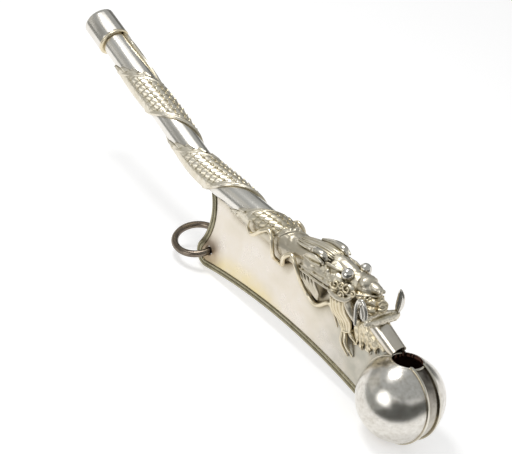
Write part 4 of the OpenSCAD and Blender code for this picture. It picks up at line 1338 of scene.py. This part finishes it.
# Pressed wood pulp scatters light evenly: white without any gloss
paper = bpy.data.materials.new("white background paper")
paper.use_nodes = True
tree = paper.node_tree
sheet = tree.nodes["Principled BSDF"]
for socket, value in (("Base Color", linear("#E4E4E4")), ("Roughness", 0.9), ("Specular IOR Level", 0.0)):
    sheet.inputs[socket].default_value = value
glow = add(tree, "ShaderNodeEmission", Color=white, Strength=paper_lift)
none = add(tree, "ShaderNodeEmission", Strength=0.0)
lift = add(tree, "ShaderNodeMixShader",
           [(0, seen_directly(tree)), (1, none.outputs[0]), (2, glow.outputs[0])])
lifted = add(tree, "ShaderNodeAddShader", [(0, sheet.outputs[0]), (1, lift.outputs[0])])
tree.links.new(tree.nodes["Material Output"].inputs["Surface"], lifted.outputs[0])
print("paper glows by", paper_lift, "where it is seen")

# %% [markdown]
# A plane primitive would do for the floor. This rectangle can also be aimed at a point, which the cards
# below need.

# %% Floor
floor_gap, floor_wide = 0.0002, 4


def board(name, centre, facing, width, height, material, turn=0.0):
    """A flat rectangle in metres that faces a point, turned in its own plane by degrees."""
    mesh = bpy.data.meshes.new(name)
    w, h = width / 2, height / 2
    mesh.from_pydata([(-w, -h, 0), (w, -h, 0), (w, h, 0), (-w, h, 0)], [], [(0, 1, 2, 3)])
    mesh.materials.append(material)
    obj = bpy.data.objects.new(name, mesh)
    look = (Vector(facing) - Vector(centre)).to_track_quat("Z", "Y").to_matrix().to_4x4()
    obj.matrix_world = Matrix.Translation(centre) @ look @ Matrix.Rotation(math.radians(turn), 4, "Z")
    scene.collection.objects.link(obj)
    obj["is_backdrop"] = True
    return obj


board("floor", (0, 0, cad_low.z - floor_gap), (0, 0, 1), floor_wide, floor_wide, paper)
print("floor is", floor_wide, "m wide")

# %% [markdown]
# Cards stand for the room. Only mirrors see them: they are hidden from the camera and throw no light or
# shadow. They are placed by their direction from the call, as read from the reflections in the buoy.

# %% Card helpers
middle = Vector((0, 0, (cad_low.z + cad_high.z) / 2))
card_away = 0.45


def flat_grey(name, colour, strength=1.0):
    """A card whose grey doesn't depend on how it is lit."""
    material = bpy.data.materials.new(name)
    material.use_nodes = True
    tree = material.node_tree
    grey = add(tree, "ShaderNodeEmission", Color=linear(colour), Strength=strength)
    tree.links.new(tree.nodes["Material Output"].inputs["Surface"], grey.outputs[0])
    return material


def around_call(azimuth, elevation):
    """A place seen from the call's middle: azimuth 0 is in front of the left side, 90 ahead of the buoy."""
    a, e = math.radians(azimuth), math.radians(elevation)
    return middle + card_away * Vector((math.sin(a) * math.cos(e), -math.cos(a) * math.cos(e), math.sin(e)))


def card(*settings):
    """A board that mirrors see, but not the camera, and that throws no light or shadow."""
    obj = board(*settings)
    obj.visible_camera = obj.visible_diffuse = obj.visible_shadow = obj.visible_transmission = False


print("cards stand", card_away, "m from the call")

# %% [markdown]
# Walls, ceiling and cloth are all out of focus in the silver, so an even grey is enough for each, and
# their colours are those seen in the reflections.

# %% Greys of the room
# Plaster rolled with matt paint: even greys that give every tube its soft shaded strips
wall_grey = flat_grey("grey painted plaster", "#9C9D9B")
ceiling_grey = flat_grey("grey painted ceiling", "#B0B2B2")
pale_wall = flat_grey("pale painted plaster", "#CBCAC5")
back_wall = flat_grey("dark grey painted plaster", "#777876")
# Woven cloth in the unlit part of the room: the dark strips that make silver look hard
dark_cloth = flat_grey("dark woven cloth", "#5E5F5D")
# Woven cloth with a lamp behind it: the one sharp highlight along the gun
box_white = flat_grey("white woven cloth of a soft box", "#FFFFFF", 1.5)
print("darkest grey:", dark_cloth.name)

# %% [markdown]
# Walls stand round the call, the table's edge lies in front of it, and ceiling and soft box hang above
# it. A picture of a room round the whole scene would do the same, but each card can be moved by itself
# until its reflection fits.

# %% Cards round the call
table_lift, table_deep, table_turn = 0.0005, 0.4, 12.4
ceiling_high, ceiling_wide = 0.36, 1.2
box_place, box_wide, box_long = Vector((-0.095, -0.07, 0.3)), 0.1, 0.33
for name, azimuth, elevation, width, height, cloth in (
        ("wall_left", -62, 14, 0.42, 0.27, pale_wall), ("wall_front", -8, 14, 0.44, 0.27, wall_grey),
        ("dark_room", 48, 9, 0.42, 0.19, dark_cloth), ("wall_right", 98, 10, 0.42, 0.22, dark_cloth),
        ("wall_far", 205, 16, 0.56, 0.24, back_wall), ("wall_behind", 280, 14, 0.3, 0.2, wall_grey)):
    card(name, around_call(azimuth, elevation), middle, width, height, cloth)
for name, x, y, width, cloth in (("table_edge_left", -0.09, -0.259, 0.38, wall_grey),
                                 ("table_edge_right", 0.286, -0.177, 0.39, dark_cloth)):
    place = Vector((x, y, cad_low.z + table_lift))
    card(name, place, Vector((x, y, 1)), width, table_deep, cloth, table_turn)
card("ceiling", Vector((0, 0, ceiling_high)), middle, ceiling_wide, ceiling_wide, ceiling_grey)
card("soft_box", box_place, Vector((box_place.x, box_place.y, 0)), box_wide, box_long, box_white)

# %% [markdown]
# Two round lamps make the highlights and the shadow: a small one above and a wide one at the window. A
# sun lamp would give one hard shadow, and these blur it towards its edge.

# %% Lamps
def lamp(name, place, size, watts):
    """A round lamp that points at the call."""
    data = bpy.data.lights.new(name, "AREA")
    data.shape, data.size, data.energy = "DISK", size, watts
    obj = bpy.data.objects.new(name, data)
    place = Vector(place)
    look = (place - middle).to_track_quat("Z", "Y").to_matrix().to_4x4()
    obj.matrix_world = Matrix.Translation(place) @ look
    scene.collection.objects.link(obj)


lamp("top lamp", (-0.075, -0.075, 0.29), size=0.09, watts=0.3)
lamp("window", (0.014, -0.39, 0.085), size=0.24, watts=0.3)
scene.view_settings.view_transform = "Standard"

# %% [markdown]
# ## Size
# The dressed call's box is measured, as the solids' box was at the start. The dressed call has to fill
# the same box as its solids.

# %% Finish
low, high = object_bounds()
